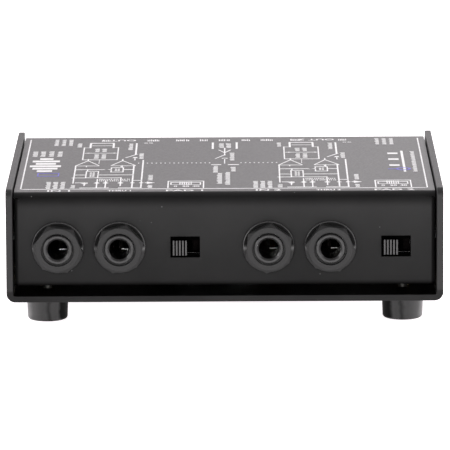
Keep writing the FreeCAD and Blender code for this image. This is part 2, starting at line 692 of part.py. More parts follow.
def make_jack_nut(name, across, angle):
    """Hexagonal nut with a round foot, tightened to its own angle."""
    body = new_body("jack_nut_" + name)
    foot = new_sketch(body, "XZ_Plane")
    add_circle(foot, "0", "0", "nut_washer_radius")
    extrude(body, "Pad", foot, "nut_washer_thickness", "-")
    dress(body, "Fillet", "nut_washer_rounding", ("0", "(-nut_washer_thickness)", "nut_washer_radius"))
    hexagon = new_sketch(body, "XZ_Plane", "(-nut_washer_thickness / 2)")
    add_hexagon(hexagon, "nut_across_flats")
    extrude(body, "Pad", hexagon, "nut_height - nut_washer_thickness / 2", "-")
    corner = "(nut_across_flats / 2 / cos(30) + 0.1)"
    bevel = new_sketch(body, "YZ_Plane")
    add_polygon(bevel, [
        ("(-nut_height - 0.1)", "(nut_across_flats / 2 - 0.3)"),
        ("(-nut_height - 0.1)", corner),
        ("(nut_chamfer - nut_height)", corner),
    ])
    turn(body, "Groove", bevel, "H_Axis")
    hole = new_sketch(body, "XZ_Plane")
    add_circle(hole, "0", "0", "nut_hole_radius")
    extrude(body, "Pocket", hole, "2 * nut_height", "both")
    mouth = new_sketch(body, "XZ_Plane", "(-nut_height)")
    add_circle(mouth, "0", "0", "nut_mouth_radius")
    extrude(body, "Pocket", mouth, "nut_mouth_depth", "+")
    place(body, across, FRONT_FACE, "panel_axis_height", FreeCAD.Rotation(Vector(0, 1, 0), angle))
    return keep(body)


def draw_tip_contact():
    """Spring strip along the chamber's ceiling, whose crest comes down to the plug's tip."""
    body = new_body("tip_contact")
    strip = new_sketch(body, "YZ_Plane")
    rest = "contact_wall_offset"
    thin = "contact_thickness"
    back = TIP_LEG_BACK
    add_polygon(strip, [
        (back, rest),
        ("(tip_crest_depth + 3.2)", rest),
        ("(tip_crest_depth + 0.6)", "0"),
        ("(tip_crest_depth - 0.6)", "0"),
        ("(tip_crest_depth - 2.4)", "2.6"),
        ("(tip_crest_depth - 2.4)", "2.6 + %s" % thin),
        ("(tip_crest_depth - 0.5)", thin),
        ("(tip_crest_depth + 0.5)", thin),
        ("(tip_crest_depth + 3.0)", "%s + %s" % (rest, thin)),
        (back, "%s + %s" % (rest, thin)),
    ])
    extrude(body, "Pad", strip, "contact_width", "both")
    leg = new_sketch(body, "YZ_Plane")
    add_rectangle(leg, "%s - %s" % (back, thin), "(-contact_leg_end)", back, rest)
    extrude(body, "Pad", leg, "contact_leg_width", "both")
    return body


def draw_ring_contact():
    """Spring strip along the chamber's left wall, whose crest leans towards the plug."""
    body = new_body("ring_contact")
    strip = new_sketch(body, "XY_Plane", "(-contact_width / 2)")
    wall = "(-contact_wall_offset)"
    face = "(contact_thickness - contact_wall_offset)"
    crest = "(-ring_crest_reach)"
    crest_face = "(contact_thickness - ring_crest_reach)"
    add_polygon(strip, [
        (wall, SIDE_LEG_BACK),
        (wall, "ring_crest_depth + 2.2"),
        (crest, "ring_crest_depth + 0.5"),
        (crest, "ring_crest_depth - 0.5"),
        (wall, "ring_crest_depth - 2.2"),
        (face, "ring_crest_depth - 2.2"),
        (crest_face, "ring_crest_depth - 0.6"),
        (crest_face, "ring_crest_depth + 0.6"),
        (face, "ring_crest_depth + 2.2"),
        (face, SIDE_LEG_BACK),
    ])
    extrude(body, "Pad", strip, "contact_width")
    add_side_leg(body, wall, face)
    return body


def draw_sleeve_contact():
    """Strip along the chamber's right wall, with a wire finger that reaches across the bore."""
    body = new_body("sleeve_contact")
    wall = "contact_wall_offset"
    face = "(contact_wall_offset - contact_thickness)"
    strip = new_sketch(body, "XY_Plane", "(-contact_width / 2 - contact_thickness)")
    add_rectangle(strip, face, "sleeve_finger_depth - contact_width / 2", wall, SIDE_LEG_BACK)
    extrude(body, "Pad", strip, "contact_width")
    finger = new_sketch(body, "YZ_Plane", "(contact_wall_offset - contact_thickness / 2)")
    add_circle(finger, "sleeve_finger_depth", "(-sleeve_finger_drop)", "sleeve_finger_radius")
    extrude(body, "Pad", finger, "sleeve_finger_length", "-")
    add_side_leg(body, face, wall)
    return body


def add_side_leg(body, left, right):
    """Solder leg at the back end of a strip that lies on a side wall."""
    leg = new_sketch(body, "XY_Plane", "(-contact_leg_end)")
    add_rectangle(leg, left, "%s - contact_leg_width" % SIDE_LEG_BACK, right, SIDE_LEG_BACK)
    extrude(body, "Pad", leg, "contact_leg_end")


def make_jacks():
    """Four jacks: housing, nut, and a set of tip, ring and sleeve contacts each."""
    springs = (draw_tip_contact(), draw_ring_contact(), draw_sleeve_contact())
    for name, across, angle in JACKS:
        make_jack_housing(name, across)
        make_jack_nut(name, across, angle)
        origin = at(point(across, FRONT_FACE, "panel_axis_height"))
        group("jack_contacts_" + name, [(spring, origin) for spring in springs])


# ---------------------------------------------------------------- slide switches

def make_switch_frame(name, placing):
    """Metal shell behind the panel window, open at the back, on two legs."""
    body = new_body("switch_frame_" + name)
    box = new_sketch(body, "XZ_Plane", "cover_thickness")
    add_centred_rectangle(box, "shell_width", "shell_height")
    extrude(body, "Pad", box, "shell_depth", "+")
    room = new_sketch(body, "XZ_Plane", "cover_thickness + shell_thickness")
    add_centred_rectangle(room, "(shell_width - 2 * shell_thickness)", "(shell_height - 2 * shell_thickness)")
    extrude(body, "Pocket", room, "shell_depth", "+")
    slot = new_sketch(body, "XZ_Plane", "cover_thickness")
    add_centred_rectangle(slot, "slot_width", "slot_height")
    extrude(body, "Pocket", slot, "shell_thickness", "+")
    board_below = "(panel_axis_height - board_top)"
    legs = new_sketch(body, "YZ_Plane", "(-shell_width / 2)")
    leg_back = "(cover_thickness + shell_depth - 0.5)"
    leg_front = "(%s - shell_leg_width)" % leg_back
    add_rectangle(legs, leg_front, minus(board_below), leg_back, "(-shell_height / 2 + shell_thickness)")
    extrude(body, "Pad", legs, "shell_thickness", "+")
    other = new_sketch(body, "YZ_Plane", "(shell_width / 2)")
    add_rectangle(other, leg_front, minus(board_below), leg_back, "(-shell_height / 2 + shell_thickness)")
    extrude(body, "Pad", other, "shell_thickness", "-")
    place(body, *placing)
    return keep(body)


def make_switch_base(name, placing):
    """Insulating base that closes the back of the shell."""
    body = new_body("switch_base_" + name)
    front = "(cover_thickness + shell_depth - switch_base_thickness)"
    plate = new_sketch(body, "XZ_Plane", front)
    width = "(shell_width - 2 * shell_thickness - 0.2)"
    height = "(shell_height - 2 * shell_thickness - 0.2)"
    add_centred_rectangle(plate, width, height)
    extrude(body, "Pad", plate, "switch_base_thickness", "+")
    place(body, *placing)
    return keep(body)


def make_switch_slider(name, placing):
    """Ridged knob in the window, with a stem through the slot and a carriage behind it."""
    body = new_body("switch_slider_" + name)
    knob_back = "(cover_thickness - running_gap)"
    knob = new_sketch(body, "XZ_Plane", knob_back)
    add_centred_rectangle(knob, "knob_width", "knob_height")
    extrude(body, "Pad", knob, "%s + knob_reach" % knob_back, "-")
    carriage_front = "(cover_thickness + shell_thickness + running_gap)"
    stem = new_sketch(body, "XZ_Plane", knob_back)
    add_centred_rectangle(stem, "stem_width", "stem_height")
    extrude(body, "Pad", stem, "%s - %s" % (carriage_front, knob_back), "+")
    carriage = new_sketch(body, "XZ_Plane", carriage_front)
    add_centred_rectangle(carriage, "carriage_width", "carriage_height")
    extrude(body, "Pad", carriage, "carriage_depth", "+")
    grooves = new_sketch(body, "XZ_Plane", "(-knob_reach)")
    ridge_pitch = "((knob_width + ridge_gap) / knob_ridges)"
    for step in range(1, round(value("knob_ridges"))):
        middle = "(%d * %s - (knob_width + ridge_gap) / 2)" % (step, ridge_pitch)
        add_centred_rectangle(grooves, "ridge_gap", "(knob_height + 1)", middle)
    extrude(body, "Pocket", grooves, "ridge_depth", "+")
    place(body, *placing)
    return keep(body)


def draw_terminal():
    """Solder terminal that leaves the back of a switch and turns down into the board."""
    body = new_body("switch_terminal")
    start = "(cover_thickness + shell_depth)"
    end = "(%s + terminal_reach)" % start
    half = "(terminal_size / 2)"
    side = new_sketch(body, "YZ_Plane")
    bottom = "(board_top - board_thickness - 1 - panel_axis_height)"
    add_polygon(side, [
        (start, minus(half)),
        ("(%s - terminal_size)" % end, minus(half)),
        ("(%s - terminal_size)" % end, bottom),
        (end, bottom),
        (end, half),
        (start, half),
    ])
    extrude(body, "Pad", side, "terminal_size", "both")
    return body


def make_switches():
    """Five slide switches: an attenuator each, a ground lift each, and the power source."""
    terminal = draw_terminal()
    members = []
    for name, across, panel in SWITCHES:
        face = FRONT_FACE if panel == "front" else REAR_FACE
        rotation = None if panel == "front" else HALF_TURN
        first_position = "switch_step" if panel == "front" else "switch_step / 2"
        placing = (across, face, "panel_axis_height", rotation)
        make_switch_frame(name, placing)
        make_switch_base(name, placing)
        slider_across = "(%s - %s)" % (across, first_position)
        make_switch_slider(name, (slider_across, face, "panel_axis_height", rotation))
        for step in (-1, 0, 1):
            foot = point("(%s + %d * terminal_pitch)" % (across, step), face, "panel_axis_height")
            members.append((terminal, at(foot, rotation)))
    group("switch_terminals", members)


# ---------------------------------------------------------------- output connectors

def make_xlr_housing(name, across):
    """Male connector shell: flange outside the panel, cup for the plug, flat underside."""
    body = new_body("xlr_housing_" + name)
    flange = new_sketch(body, "XZ_Plane")
    add_centred_rectangle(flange, "xlr_flange_width", "xlr_flange_height")
    extrude(body, "Pad", flange, "xlr_flange_thickness", "-")
    middle = "(-xlr_flange_thickness / 2)"
    half_width = "(xlr_flange_width / 2)"
    half_height = "(xlr_flange_height / 2)"
    corners = [
        (side, middle, level)
        for side in (half_width, minus(half_width))
        for level in (half_height, minus(half_height))
    ]
    dress(body, "Fillet", "xlr_flange_corner", *corners)
    dress(body, "Fillet", "xlr_flange_rounding", ("0", "(-xlr_flange_thickness)", half_height))
    barrel = new_sketch(body, "XZ_Plane")
    add_circle(barrel, "0", "0", "xlr_barrel_radius")
    extrude(body, "Pad", barrel, "xlr_barrel_depth", "+")
    flat = new_sketch(body, "XZ_Plane")
    add_rectangle(flat, "(-xlr_barrel_radius)", "(-xlr_barrel_radius - 1)",
                  "xlr_barrel_radius", "(-xlr_barrel_flat)")
    extrude(body, "Pocket", flat, "xlr_barrel_depth", "+")
    cup = new_sketch(body, "XZ_Plane", "(-xlr_flange_thickness)")
    add_circle(cup, "0", "0", "xlr_cup_radius")
    extrude(body, "Pocket", cup, "xlr_flange_thickness + xlr_cup_depth", "+")
    dress(body, "Chamfer", "xlr_cup_chamfer", ("0", "(-xlr_flange_thickness)", "xlr_cup_radius"))
    rib = new_sketch(body, "XZ_Plane", "xlr_key_depth")
    add_rectangle(rib, "(-xlr_key_width / 2)", "(xlr_cup_radius - xlr_key_height)",
                  "(xlr_key_width / 2)", "(xlr_cup_radius + 0.5)")
    extrude(body, "Pad", rib, "xlr_cup_depth - xlr_key_depth", "+")
    drill_xlr(body)
    place(body, across, REAR_FACE, "xlr_axis_height", HALF_TURN)
    return keep(body)


def drill_xlr(body):
    """Holes for the three pins, and countersunk holes for the two flange screws."""
    pins = new_sketch(body, "XZ_Plane", "xlr_cup_depth")
    for angle in PIN_ANGLES:
        across = "(xlr_pin_circle * cos(%d))" % angle
        up = "(xlr_pin_circle * sin(%d))" % angle
        add_circle(pins, across, up, "xlr_pin_radius + 0.02")
    extrude(body, "Pocket", pins, "xlr_barrel_depth", "+")
    screws = new_sketch(body, "XZ_Plane", "(-xlr_flange_thickness)")
    sinks = new_sketch(body, "XZ_Plane", "(-xlr_flange_thickness)")
    for sign in ("", "-"):
        across = "(-%sxlr_screw_across)" % sign
        up = "(%sxlr_screw_up)" % sign
        add_circle(screws, across, up, "screw_hole_radius")
        add_circle(sinks, across, up, "flat_head_radius + flat_head_gap")
    extrude(body, "Pocket", screws, "xlr_flange_thickness", "+")
    extrude(body, "Pocket", sinks, "flat_head_depth", "+", taper=-45)


def draw_xlr_pin(name, up):
    """Contact pin along Y with a rounded tip, and its leg down into the board."""
    body = new_body(name)
    rod = new_sketch(body, "XZ_Plane", "xlr_pin_tip")
    add_circle(rod, "0", "0", "xlr_pin_radius")
    extrude(body, "Pad", rod, "xlr_pin_end - xlr_pin_tip", "+")
    dress(body, "Fillet", "xlr_pin_radius * 0.7", ("0", "xlr_pin_tip", "xlr_pin_radius"))
    leg = new_sketch(body, "XY_Plane")
    middle = "(xlr_pin_end - xlr_leg_size)"
    add_centred_rectangle(leg, "xlr_leg_size", "xlr_leg_size", "0", middle)
    drop = "xlr_axis_height + %s - board_top + board_thickness + 1" % up
    extrude(body, "Pad", leg, drop, "-")
    return body


def make_connectors(screw):
    """Two output connectors: shell, three pins and two flange screws each."""
    pins = []
    for angle in PIN_ANGLES:
        up = "xlr_pin_circle * sin(%d)" % angle
        pins.append((draw_xlr_pin("xlr_pin_%d" % angle, up), angle))
    screws = []
    outward = FreeCAD.Rotation(Vector(1, 0, 0), -90)
    for name, across in CONNECTORS:
        make_xlr_housing(name, across)
        members = []
        for pin, angle in pins:
            place_across = "%s - xlr_pin_circle * cos(%d)" % (across, angle)
            place_up = "xlr_axis_height + xlr_pin_circle * sin(%d)" % angle
            members.append((pin, at(point(place_across, REAR_FACE, place_up), HALF_TURN)))
        group("xlr_contacts_" + name, members)
        for sign in (1, -1):
            head = point(
                "%s + %d * xlr_screw_across" % (across, sign),
                "%s + xlr_flange_thickness" % REAR_FACE,
                "xlr_axis_height + %d * xlr_screw_up" % sign,
            )
            screws.append((screw, at(head, outward)))
    group("xlr_screws", screws)


# ---------------------------------------------------------------- board and supports

def make_board():
    """Circuit board round the battery, with a hole for every solder leg."""
    body = new_body("main_pcb")
    front = "(%s + cover_thickness + board_edge_gap)" % FRONT_FACE
    rear = "(%s - cover_thickness - board_edge_gap)" % REAR_FACE
    outline = new_sketch(body, "XY_Plane", "board_top")
    add_rectangle(outline, "(-board_width / 2)", front, "(board_width / 2)", rear)
    extrude(body, "Pad", outline, "board_thickness", "-")
    window = new_sketch(body, "XY_Plane", "board_top")
    add_centred_rectangle(window, "board_window_width", "board_window_depth", "0", "case_shift")
    extrude(body, "Pocket", window, "board_thickness", "-")
    holes = new_sketch(body, "XY_Plane", "board_top")
    for side in ("board_post_across", "(-board_post_across)"):
        for row in ("board_post_front", "board_post_rear"):
            add_circle(holes, side, row, "screw_hole_radius")
    for across, back in lead_places():
        add_circle(holes, across, back, "lead_hole_radius")
    extrude(body, "Pocket", holes, "board_thickness", "-")
    return keep(body)


def lead_places():
    """Where the solder legs of jacks, switches and connectors go through the board."""
    places = []
    for _, across, _ in JACKS:
        tip = "(%s + %s - contact_thickness / 2)" % (FRONT_FACE, TIP_LEG_BACK)
        side = "(%s + %s - contact_leg_width / 2)" % (FRONT_FACE, SIDE_LEG_BACK)
        reach = "(contact_wall_offset - contact_thickness / 2)"
        places.append((across, tip))
        places.append(("(%s - %s)" % (across, reach), side))
        places.append(("(%s + %s)" % (across, reach), side))
    depth = "(cover_thickness + shell_depth + terminal_reach - terminal_size / 2)"
    for _, across, panel in SWITCHES:
        back = FRONT_FACE + " + " + depth if panel == "front" else REAR_FACE + " - " + depth
        for step in (-1, 0, 1):
            places.append(("(%s + %d * terminal_pitch)" % (across, step), back))
    for _, across in CONNECTORS:
        for angle in PIN_ANGLES:
            pin_across = "(%s - xlr_pin_circle * cos(%d))" % (across, angle)
            places.append((pin_across, "(%s - xlr_pin_end + xlr_leg_size)" % REAR_FACE))
    return places


def post_points(up):
    """Points on the four board supports at a height."""
    return [
        point(side, row, up)
        for side in ("board_post_across", "(-board_post_across)")
        for row in ("board_post_front", "board_post_rear")
    ]


def make_supports():
    """Hexagonal supports under the board, and the screws above and below them."""
    post = new_body("board_post")
    height = "(board_top - board_thickness - %s)" % BASE_TOP
    hexagon = new_sketch(post, "XY_Plane")
    add_hexagon(hexagon, "board_post_flats")
    extrude(post, "Pad", hexagon, height)
    bore = new_sketch(post, "XY_Plane")
    add_circle(bore, "0", "0", "screw_radius + 0.1")
    extrude(post, "Pocket", bore, height, "+")
    group("pcb_standoffs", [(post, at(foot)) for foot in post_points(BASE_TOP)])
    screw = draw_pan_screw("board_screw", "board_screw_length")
    upper = [(screw, at(head)) for head in post_points("board_top + pan_head_height")]
    lower = [(screw, at(head, UPSIDE_DOWN)) for head in post_points("foot_height - pan_head_height")]
    group("pcb_screws", upper + lower)
    return screw


# ---------------------------------------------------------------- battery

def make_battery_clip(screw):
    """Sheet clip whose arms hold the battery, screwed down by an ear on each side."""
    body = new_body("battery_clip")
    inside = "(battery_width / 2 + 0.15)"
    outside = "(%s + clip_thickness)" % inside
    ear = "(%s + clip_ear)" % outside
    top = "clip_height"
    profile = new_sketch(body, "YZ_Plane")
    add_polygon(profile, [
        (minus(ear), "0"),
        (ear, "0"),
        (ear, "clip_thickness"),
        (outside, "clip_thickness"),
        (outside, top),
        (inside, top),
        (inside, "clip_thickness"),
        (minus(inside), "clip_thickness"),
        (minus(inside), top),
        (minus(outside), top),
        (minus(outside), "clip_thickness"),
        (minus(ear), "clip_thickness"),
    ])
    extrude(body, "Pad", profile, "clip_length", "both")
    holes = new_sketch(body, "XY_Plane")
    reach = "(%s - case_shift)" % CLIP_SCREW
    for side in (reach, minus(reach)):
        add_circle(holes, "0", side, "screw_hole_radius")
    extrude(body, "Pocket", holes, "2 * clip_thickness", "+")
    place(body, "battery_across", "case_shift", BASE_TOP)
    keep(body)
    rows = (CLIP_SCREW, "2 * case_shift - %s" % CLIP_SCREW)
    heads = [point("battery_across", row, "%s + clip_thickness + pan_head_height" % BASE_TOP) for row in rows]
    group("clip_screws", [(screw, at(head)) for head in heads])


def make_battery():
    """Block battery on its wide side, with two snap studs at its right end."""
    body = new_body("battery_9v")
    end = "(battery_length / 2)"
    block = new_sketch(body, "YZ_Plane")
    add_centred_rectangle(block, "battery_width", "battery_height")
    extrude(body, "Pad", block, "battery_length", "both")
    edges = [
        ("0", "%d * battery_width / 2" % side, "%d * battery_height / 2" % level)
        for side in (1, -1)
        for level in (1, -1)
    ]
    dress(body, "Fillet", "battery_rounding", *edges)
    studs = new_sketch(body, "YZ_Plane", end)
    for side in ("(stud_pitch / 2)", "(-stud_pitch / 2)"):
        add_circle(studs, side, "0", "stud_radius")
    extrude(body, "Pad", studs, "stud_height")
    place(body, "battery_across", "case_shift", "%s + clip_thickness + battery_height / 2" % BASE_TOP)
    return keep(body)


def make_snap_connector():
    """Battery connector pressed over the studs."""
    body = new_body("battery_snap_connector")
    block = new_sketch(body, "YZ_Plane")
    add_centred_rectangle(block, "snap_width", "snap_height")
    extrude(body, "Pad", block, "snap_thickness")
    edges = [
        ("(snap_thickness / 2)", "%d * snap_width / 2" % side, "%d * snap_height / 2" % level)
        for side in (1, -1)
        for level in (1, -1)
    ]
    dress(body, "Fillet", "snap_height / 4", *edges)
    sockets = new_sketch(body, "YZ_Plane")
    for side in ("(stud_pitch / 2)", "(-stud_pitch / 2)"):
        add_circle(sockets, side, "0", "stud_radius + 0.1")
    extrude(body, "Pocket", sockets, "stud_height", "+")
    across = "battery_across + battery_length / 2 + 0.1"
    place(body, across, "case_shift", "%s + clip_thickness + battery_height / 2" % BASE_TOP)
    return keep(body)


def lead_tube(back):
    """One insulated lead: straight out of the connector, then over a bend into the board."""
    start = point(
        "battery_across + battery_length / 2 + 0.1 + snap_thickness",
        back,
        "%s + clip_thickness + battery_height / 2" % BASE_TOP,
    )
    bend = value("battery_lead_bend")
    slant = bend * math.sin(math.pi / 4)
    end = Vector(value("board_window_width / 2 + battery_lead_reach"), start.y, value("board_top"))
    corner = Vector(end.x - bend, start.y, start.z)
    middle = corner + Vector(slant, 0, slant - bend)
    below = Vector(end.x, start.y, start.z - bend)
    path = Part.Wire([
        Part.LineSegment(start, corner).toShape(),
        Part.Arc(corner, middle, below).toShape(),
        Part.LineSegment(below, end).toShape(),
    ])
    section = Part.Wire(Part.Circle(start, Vector(1, 0, 0), value("battery_lead_radius")).toShape())
    pipe = Part.BRepOffsetAPI.MakePipeShell(path)
    pipe.add(section)
    pipe.build()
    pipe.makeSolid()
    return pipe.shape()


def make_battery_leads():
    """The battery's two leads, side by side."""
    item = doc.addObject("Part::Feature", "battery_leads")
    item.Label = "battery_leads"
    spacing = "stud_pitch / 2"
    tubes = [lead_tube("case_shift + %d * %s" % (side, spacing)) for side in (1, -1)]
    item.Shape = Part.Compound(tubes)
    return keep(item)


# ---------------------------------------------------------------- electronic components

def on_board(across, back, rotation=None):
    """A placement on the board's top."""
    return at(Vector(across, back, value("board_top")), rotation)


def make_electrolytics():
    """Standing electrolytic capacitors in two rows behind the jacks."""
    body = new_body("electrolytic_capacitor")
    can = new_sketch(body, "XY_Plane")
    add_circle(can, "0", "0", "capacitor_radius")
    extrude(body, "Pad", can, "capacitor_height")
    dress(body, "Fillet", "capacitor_rounding", ("capacitor_radius", "0", "capacitor_height"))
    members = []
    for side in (-1, 1):
        for column in (41, 51):
            for row in (-12, 2):
                members.append((body, on_board(side * column, row)))
    group("electrolytic_capacitors", members)


def make_film_capacitors():
    """Standing film capacitors between the jacks and the battery."""
    body = new_body("film_capacitor")
    block = new_sketch(body, "XY_Plane")
    add_centred_rectangle(block, "film_length", "film_width")
    extrude(body, "Pad", block, "film_height")
    members = [
        (body, on_board(side * column, -19.6))
        for side in (-1, 1)
        for column in (10, 20, 30, 40)
    ]
    group("film_capacitors", members)


def make_chips():
    """Two eight-pin amplifier packages, each on two rows of legs."""
    body = new_body("amplifier_chip")
    block = new_sketch(body, "XY_Plane", "chip_stand_off")
    add_centred_rectangle(block, "chip_width", "chip_length")
    extrude(body, "Pad", block, "chip_height")
    legs = new_sketch(body, "XY_Plane")
    for side in (-1, 1):
        for step in range(4):
            across = "(%d * (chip_width / 2 - 0.3))" % side
            back = "(2.54 * %d)" % step
            add_centred_rectangle(legs, "0.5", "0.6", across, "(%s - 3.81)" % back)
    extrude(body, "Pad", legs, "chip_stand_off")
    members = [(body, on_board(side * 45, 15)) for side in (-1, 1)]
    group("ic_packages", members)


def draw_axial(name, radius, length):
    """Component lying on the board with its leads bent down at both ends."""
    body = new_body(name)
    barrel = new_sketch(body, "XZ_Plane")
    add_circle(barrel, "0", "(%s + 0.2)" % radius, radius)
    extrude(body, "Pad", barrel, length, "both")
    leads = new_sketch(body, "YZ_Plane")
    half = "(%s / 2)" % length
    low = "(%s - 0.05)" % radius
    high = "(%s + 0.45)" % radius
    for sign in ("", "-"):
        add_polygon(leads, [
            ("(%s%s)" % (sign, half), low),
            ("(%s(%s + 1))" % (sign, half), low),
            ("(%s(%s + 1))" % (sign, half), "0"),
            ("(%s(%s + 1.5))" % (sign, half), "0"),
            ("(%s(%s + 1.5))" % (sign, half), high),
            ("(%s%s)" % (sign, half), high),
        ])
    extrude(body, "Pad", leads, "0.5", "both")
    return body


def make_resistors():
    """Rows of resistors beside the amplifiers and in front of the outputs."""
    body = draw_axial("resistor", "resistor_radius", "resistor_length")
    members = []
    for side in (-1, 1):
        for step in range(5):
            members.append((body, on_board(side * (10 + 4 * step), 26)))
        for step in range(3):
            members.append((body, on_board(side * (51 + 4 * step), 13)))
    group("resistors", members)


def make_diodes():
    """Protection diodes beside the output connectors."""
    body = draw_axial("diode", "diode_radius", "diode_length")
    members = [
        (body, on_board(side * column, 27))
        for side in (-1, 1)
        for column in (32, 36)
    ]
    group("diodes", members)


# ---------------------------------------------------------------- whole box

def make_box():
    """Build every piece, outside first."""
    make_base_chassis()
    make_top_cover()
    flat_screw = draw_flat_screw()
    make_cover_screws(flat_screw)
    make_feet()
    make_foot_screws()
    make_jacks()
    make_switches()
    make_connectors(flat_screw)
    make_board()
    board_screw = make_supports()
    make_battery_clip(board_screw)
    make_battery()
    make_snap_connector()
    make_battery_leads()
    make_electrolytics()
    make_film_capacitors()
    make_chips()
    make_resistors()
    make_diodes()
    doc.recompute()


def check_box():
    """Stop if any object failed or any piece has no valid solid."""
    for item in doc.Objects:
        if {"Invalid", "Error"} & set(item.State):
            raise RuntimeError("%s failed: %s" % (item.Label, item.State))
    for item in pieces:
        shape = item.Shape
        if shape.isNull() or not shape.isValid() or not shape.Solids:
            raise RuntimeError("%s has no valid solid" % item.Label)


def write_pieces():
    """Write each piece to a file with its own name."""
    os.makedirs("parts", exist_ok=True)
    for item in pieces:
        item.Shape.exportStep("parts/%s.step" % item.Label)
        box = item.Shape.BoundBox
        print("%-28s %2d solids, x %7.2f %7.2f, y %7.2f %7.2f, z %6.2f %6.2f" % (
            item.Label, len(item.Shape.Solids),
            box.XMin, box.XMax, box.YMin, box.YMax, box.ZMin, box.ZMax,
        ))


fill_sheet()
make_box()
check_box()
write_pieces()
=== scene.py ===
"""Looks of the direct injection box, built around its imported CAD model.

Lengths are in metres, in the model's own frame: X to the right, Y towards the back, Z up.
The print on the cover is drawn in millimetres: u across and v back from the front panel's face.
"""

import json
import math
import random

import bpy
import bmesh
from mathutils import Matrix, Vector


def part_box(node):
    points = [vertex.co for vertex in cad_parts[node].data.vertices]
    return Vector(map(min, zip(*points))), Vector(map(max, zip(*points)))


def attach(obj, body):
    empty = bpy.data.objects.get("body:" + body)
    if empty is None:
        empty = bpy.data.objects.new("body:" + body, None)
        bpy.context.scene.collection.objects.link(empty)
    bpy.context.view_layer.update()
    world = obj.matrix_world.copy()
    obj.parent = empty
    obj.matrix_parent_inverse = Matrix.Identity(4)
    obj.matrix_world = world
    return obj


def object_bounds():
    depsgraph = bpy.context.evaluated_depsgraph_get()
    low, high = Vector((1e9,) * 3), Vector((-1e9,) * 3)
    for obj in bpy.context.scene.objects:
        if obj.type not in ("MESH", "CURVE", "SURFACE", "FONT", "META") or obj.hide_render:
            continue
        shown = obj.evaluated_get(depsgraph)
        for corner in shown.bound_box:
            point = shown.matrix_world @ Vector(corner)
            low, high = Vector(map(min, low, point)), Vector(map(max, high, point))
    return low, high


MM = 0.001
NUT_FOOT_THICKNESS = 1.0 * MM
KNOB_CREST_DEPTH = 0.12 * MM
BRIGHT_CONTACT_DEPTH = 10.5 * MM

# The print's own sizes, in millimetres.
PRINT_PITCH = 66.7
STROKE_ACROSS = 0.85
STROKE_BACK = 0.42
LETTER_SWELL = 0.06
LABEL_PLACE = 3.2
LABEL_SIZE = 3.2

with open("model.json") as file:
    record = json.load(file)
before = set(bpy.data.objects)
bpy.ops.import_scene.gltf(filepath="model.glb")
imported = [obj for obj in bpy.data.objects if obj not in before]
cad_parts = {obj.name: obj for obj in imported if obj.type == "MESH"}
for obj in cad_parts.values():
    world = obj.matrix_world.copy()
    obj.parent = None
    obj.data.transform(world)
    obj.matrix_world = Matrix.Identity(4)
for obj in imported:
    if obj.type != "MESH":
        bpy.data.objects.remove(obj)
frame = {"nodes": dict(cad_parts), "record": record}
CAD_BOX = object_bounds()
COVER_LOW, COVER_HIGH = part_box("top_cover")
FRONT_FACE = COVER_LOW.y
TOP = COVER_HIGH.z

WORLD_WHITE = (1.0, 0.955, 0.98, 1.0)
FLOOR_WHITE = (1.0, 0.955, 0.975, 1.0)

# Name, place, point aimed at, width, height and watts of each soft light.
# The two low ones stay under the top's plane, so that the top shows no glare from behind.
MIDDLE = (0.0, 0.0, 0.03)
JACK_LEVEL = (0.0, 0.0, 0.022)
SOFTBOXES = (
    ("left_light", (-1.3, -0.5, 0.5), MIDDLE, 0.7, 0.8, 8.0),
    ("right_light", (1.3, -0.62, 0.5), MIDDLE, 0.7, 0.8, 6.2),
    ("rear_light", (0.40, 1.1, 0.25), MIDDLE, 0.8, 0.5, 0.4),
    ("high_light", (1.1, 0.2, 1.1), MIDDLE, 0.6, 0.5, 5.2),
    ("front_light", (0.05, -1.6, 0.43), MIDDLE, 0.25, 0.12, 0.7),
    ("low_left_light", (-0.20, -1.6, 0.022), JACK_LEVEL, 0.25, 0.036, 2.6),
    ("low_right_light", (0.30, -1.6, 0.022), JACK_LEVEL, 0.25, 0.036, 3.5),
)


# ---------------------------------------------------------------- camera, light and floor

def make_camera():
    """A long lens in front of the box, a little above it and a hair off level."""
    azimuth = math.radians(-0.12)
    elevation = math.radians(10.49)
    roll = math.radians(-0.30)
    distance = 1.712
    aim_across = 0.14 * MM
    aim_behind_nuts = 2.1 * MM
    aim_height = 32.85 * MM
    aim = Vector((aim_across, CAD_BOX[0].y + aim_behind_nuts, aim_height))
    forward = Vector((
        math.sin(azimuth) * math.cos(elevation),
        math.cos(azimuth) * math.cos(elevation),
        -math.sin(elevation),
    ))
    level = Vector((math.cos(azimuth), -math.sin(azimuth), 0.0))
    upright = level.cross(forward)
    right = level * math.cos(roll) + upright * math.sin(roll)
    up = upright * math.cos(roll) - level * math.sin(roll)
    data = bpy.data.cameras.new("camera")
    data.sensor_width = 36.0
    data.lens = 429.4
    data.clip_start = 0.05
    data.clip_end = 30.0
    camera = bpy.data.objects.new("camera", data)
    bpy.context.scene.collection.objects.link(camera)
    turn = Matrix((right, up, -forward)).transposed().to_4x4()
    camera.matrix_world = Matrix.Translation(aim - forward * distance) @ turn
    bpy.context.scene.camera = camera


def add_softbox(name, place, aim, width, height, watts):
    """A rectangular soft light that faces a point."""
    data = bpy.data.lights.new(name, "AREA")
    data.shape = "RECTANGLE"
    data.size = width
    data.size_y = height
    data.energy = watts
    light = bpy.data.objects.new(name, data)
    light.location = place
    light.rotation_euler = (Vector(aim) - Vector(place)).to_track_quat("-Z", "Y").to_euler()
    bpy.context.scene.collection.objects.link(light)


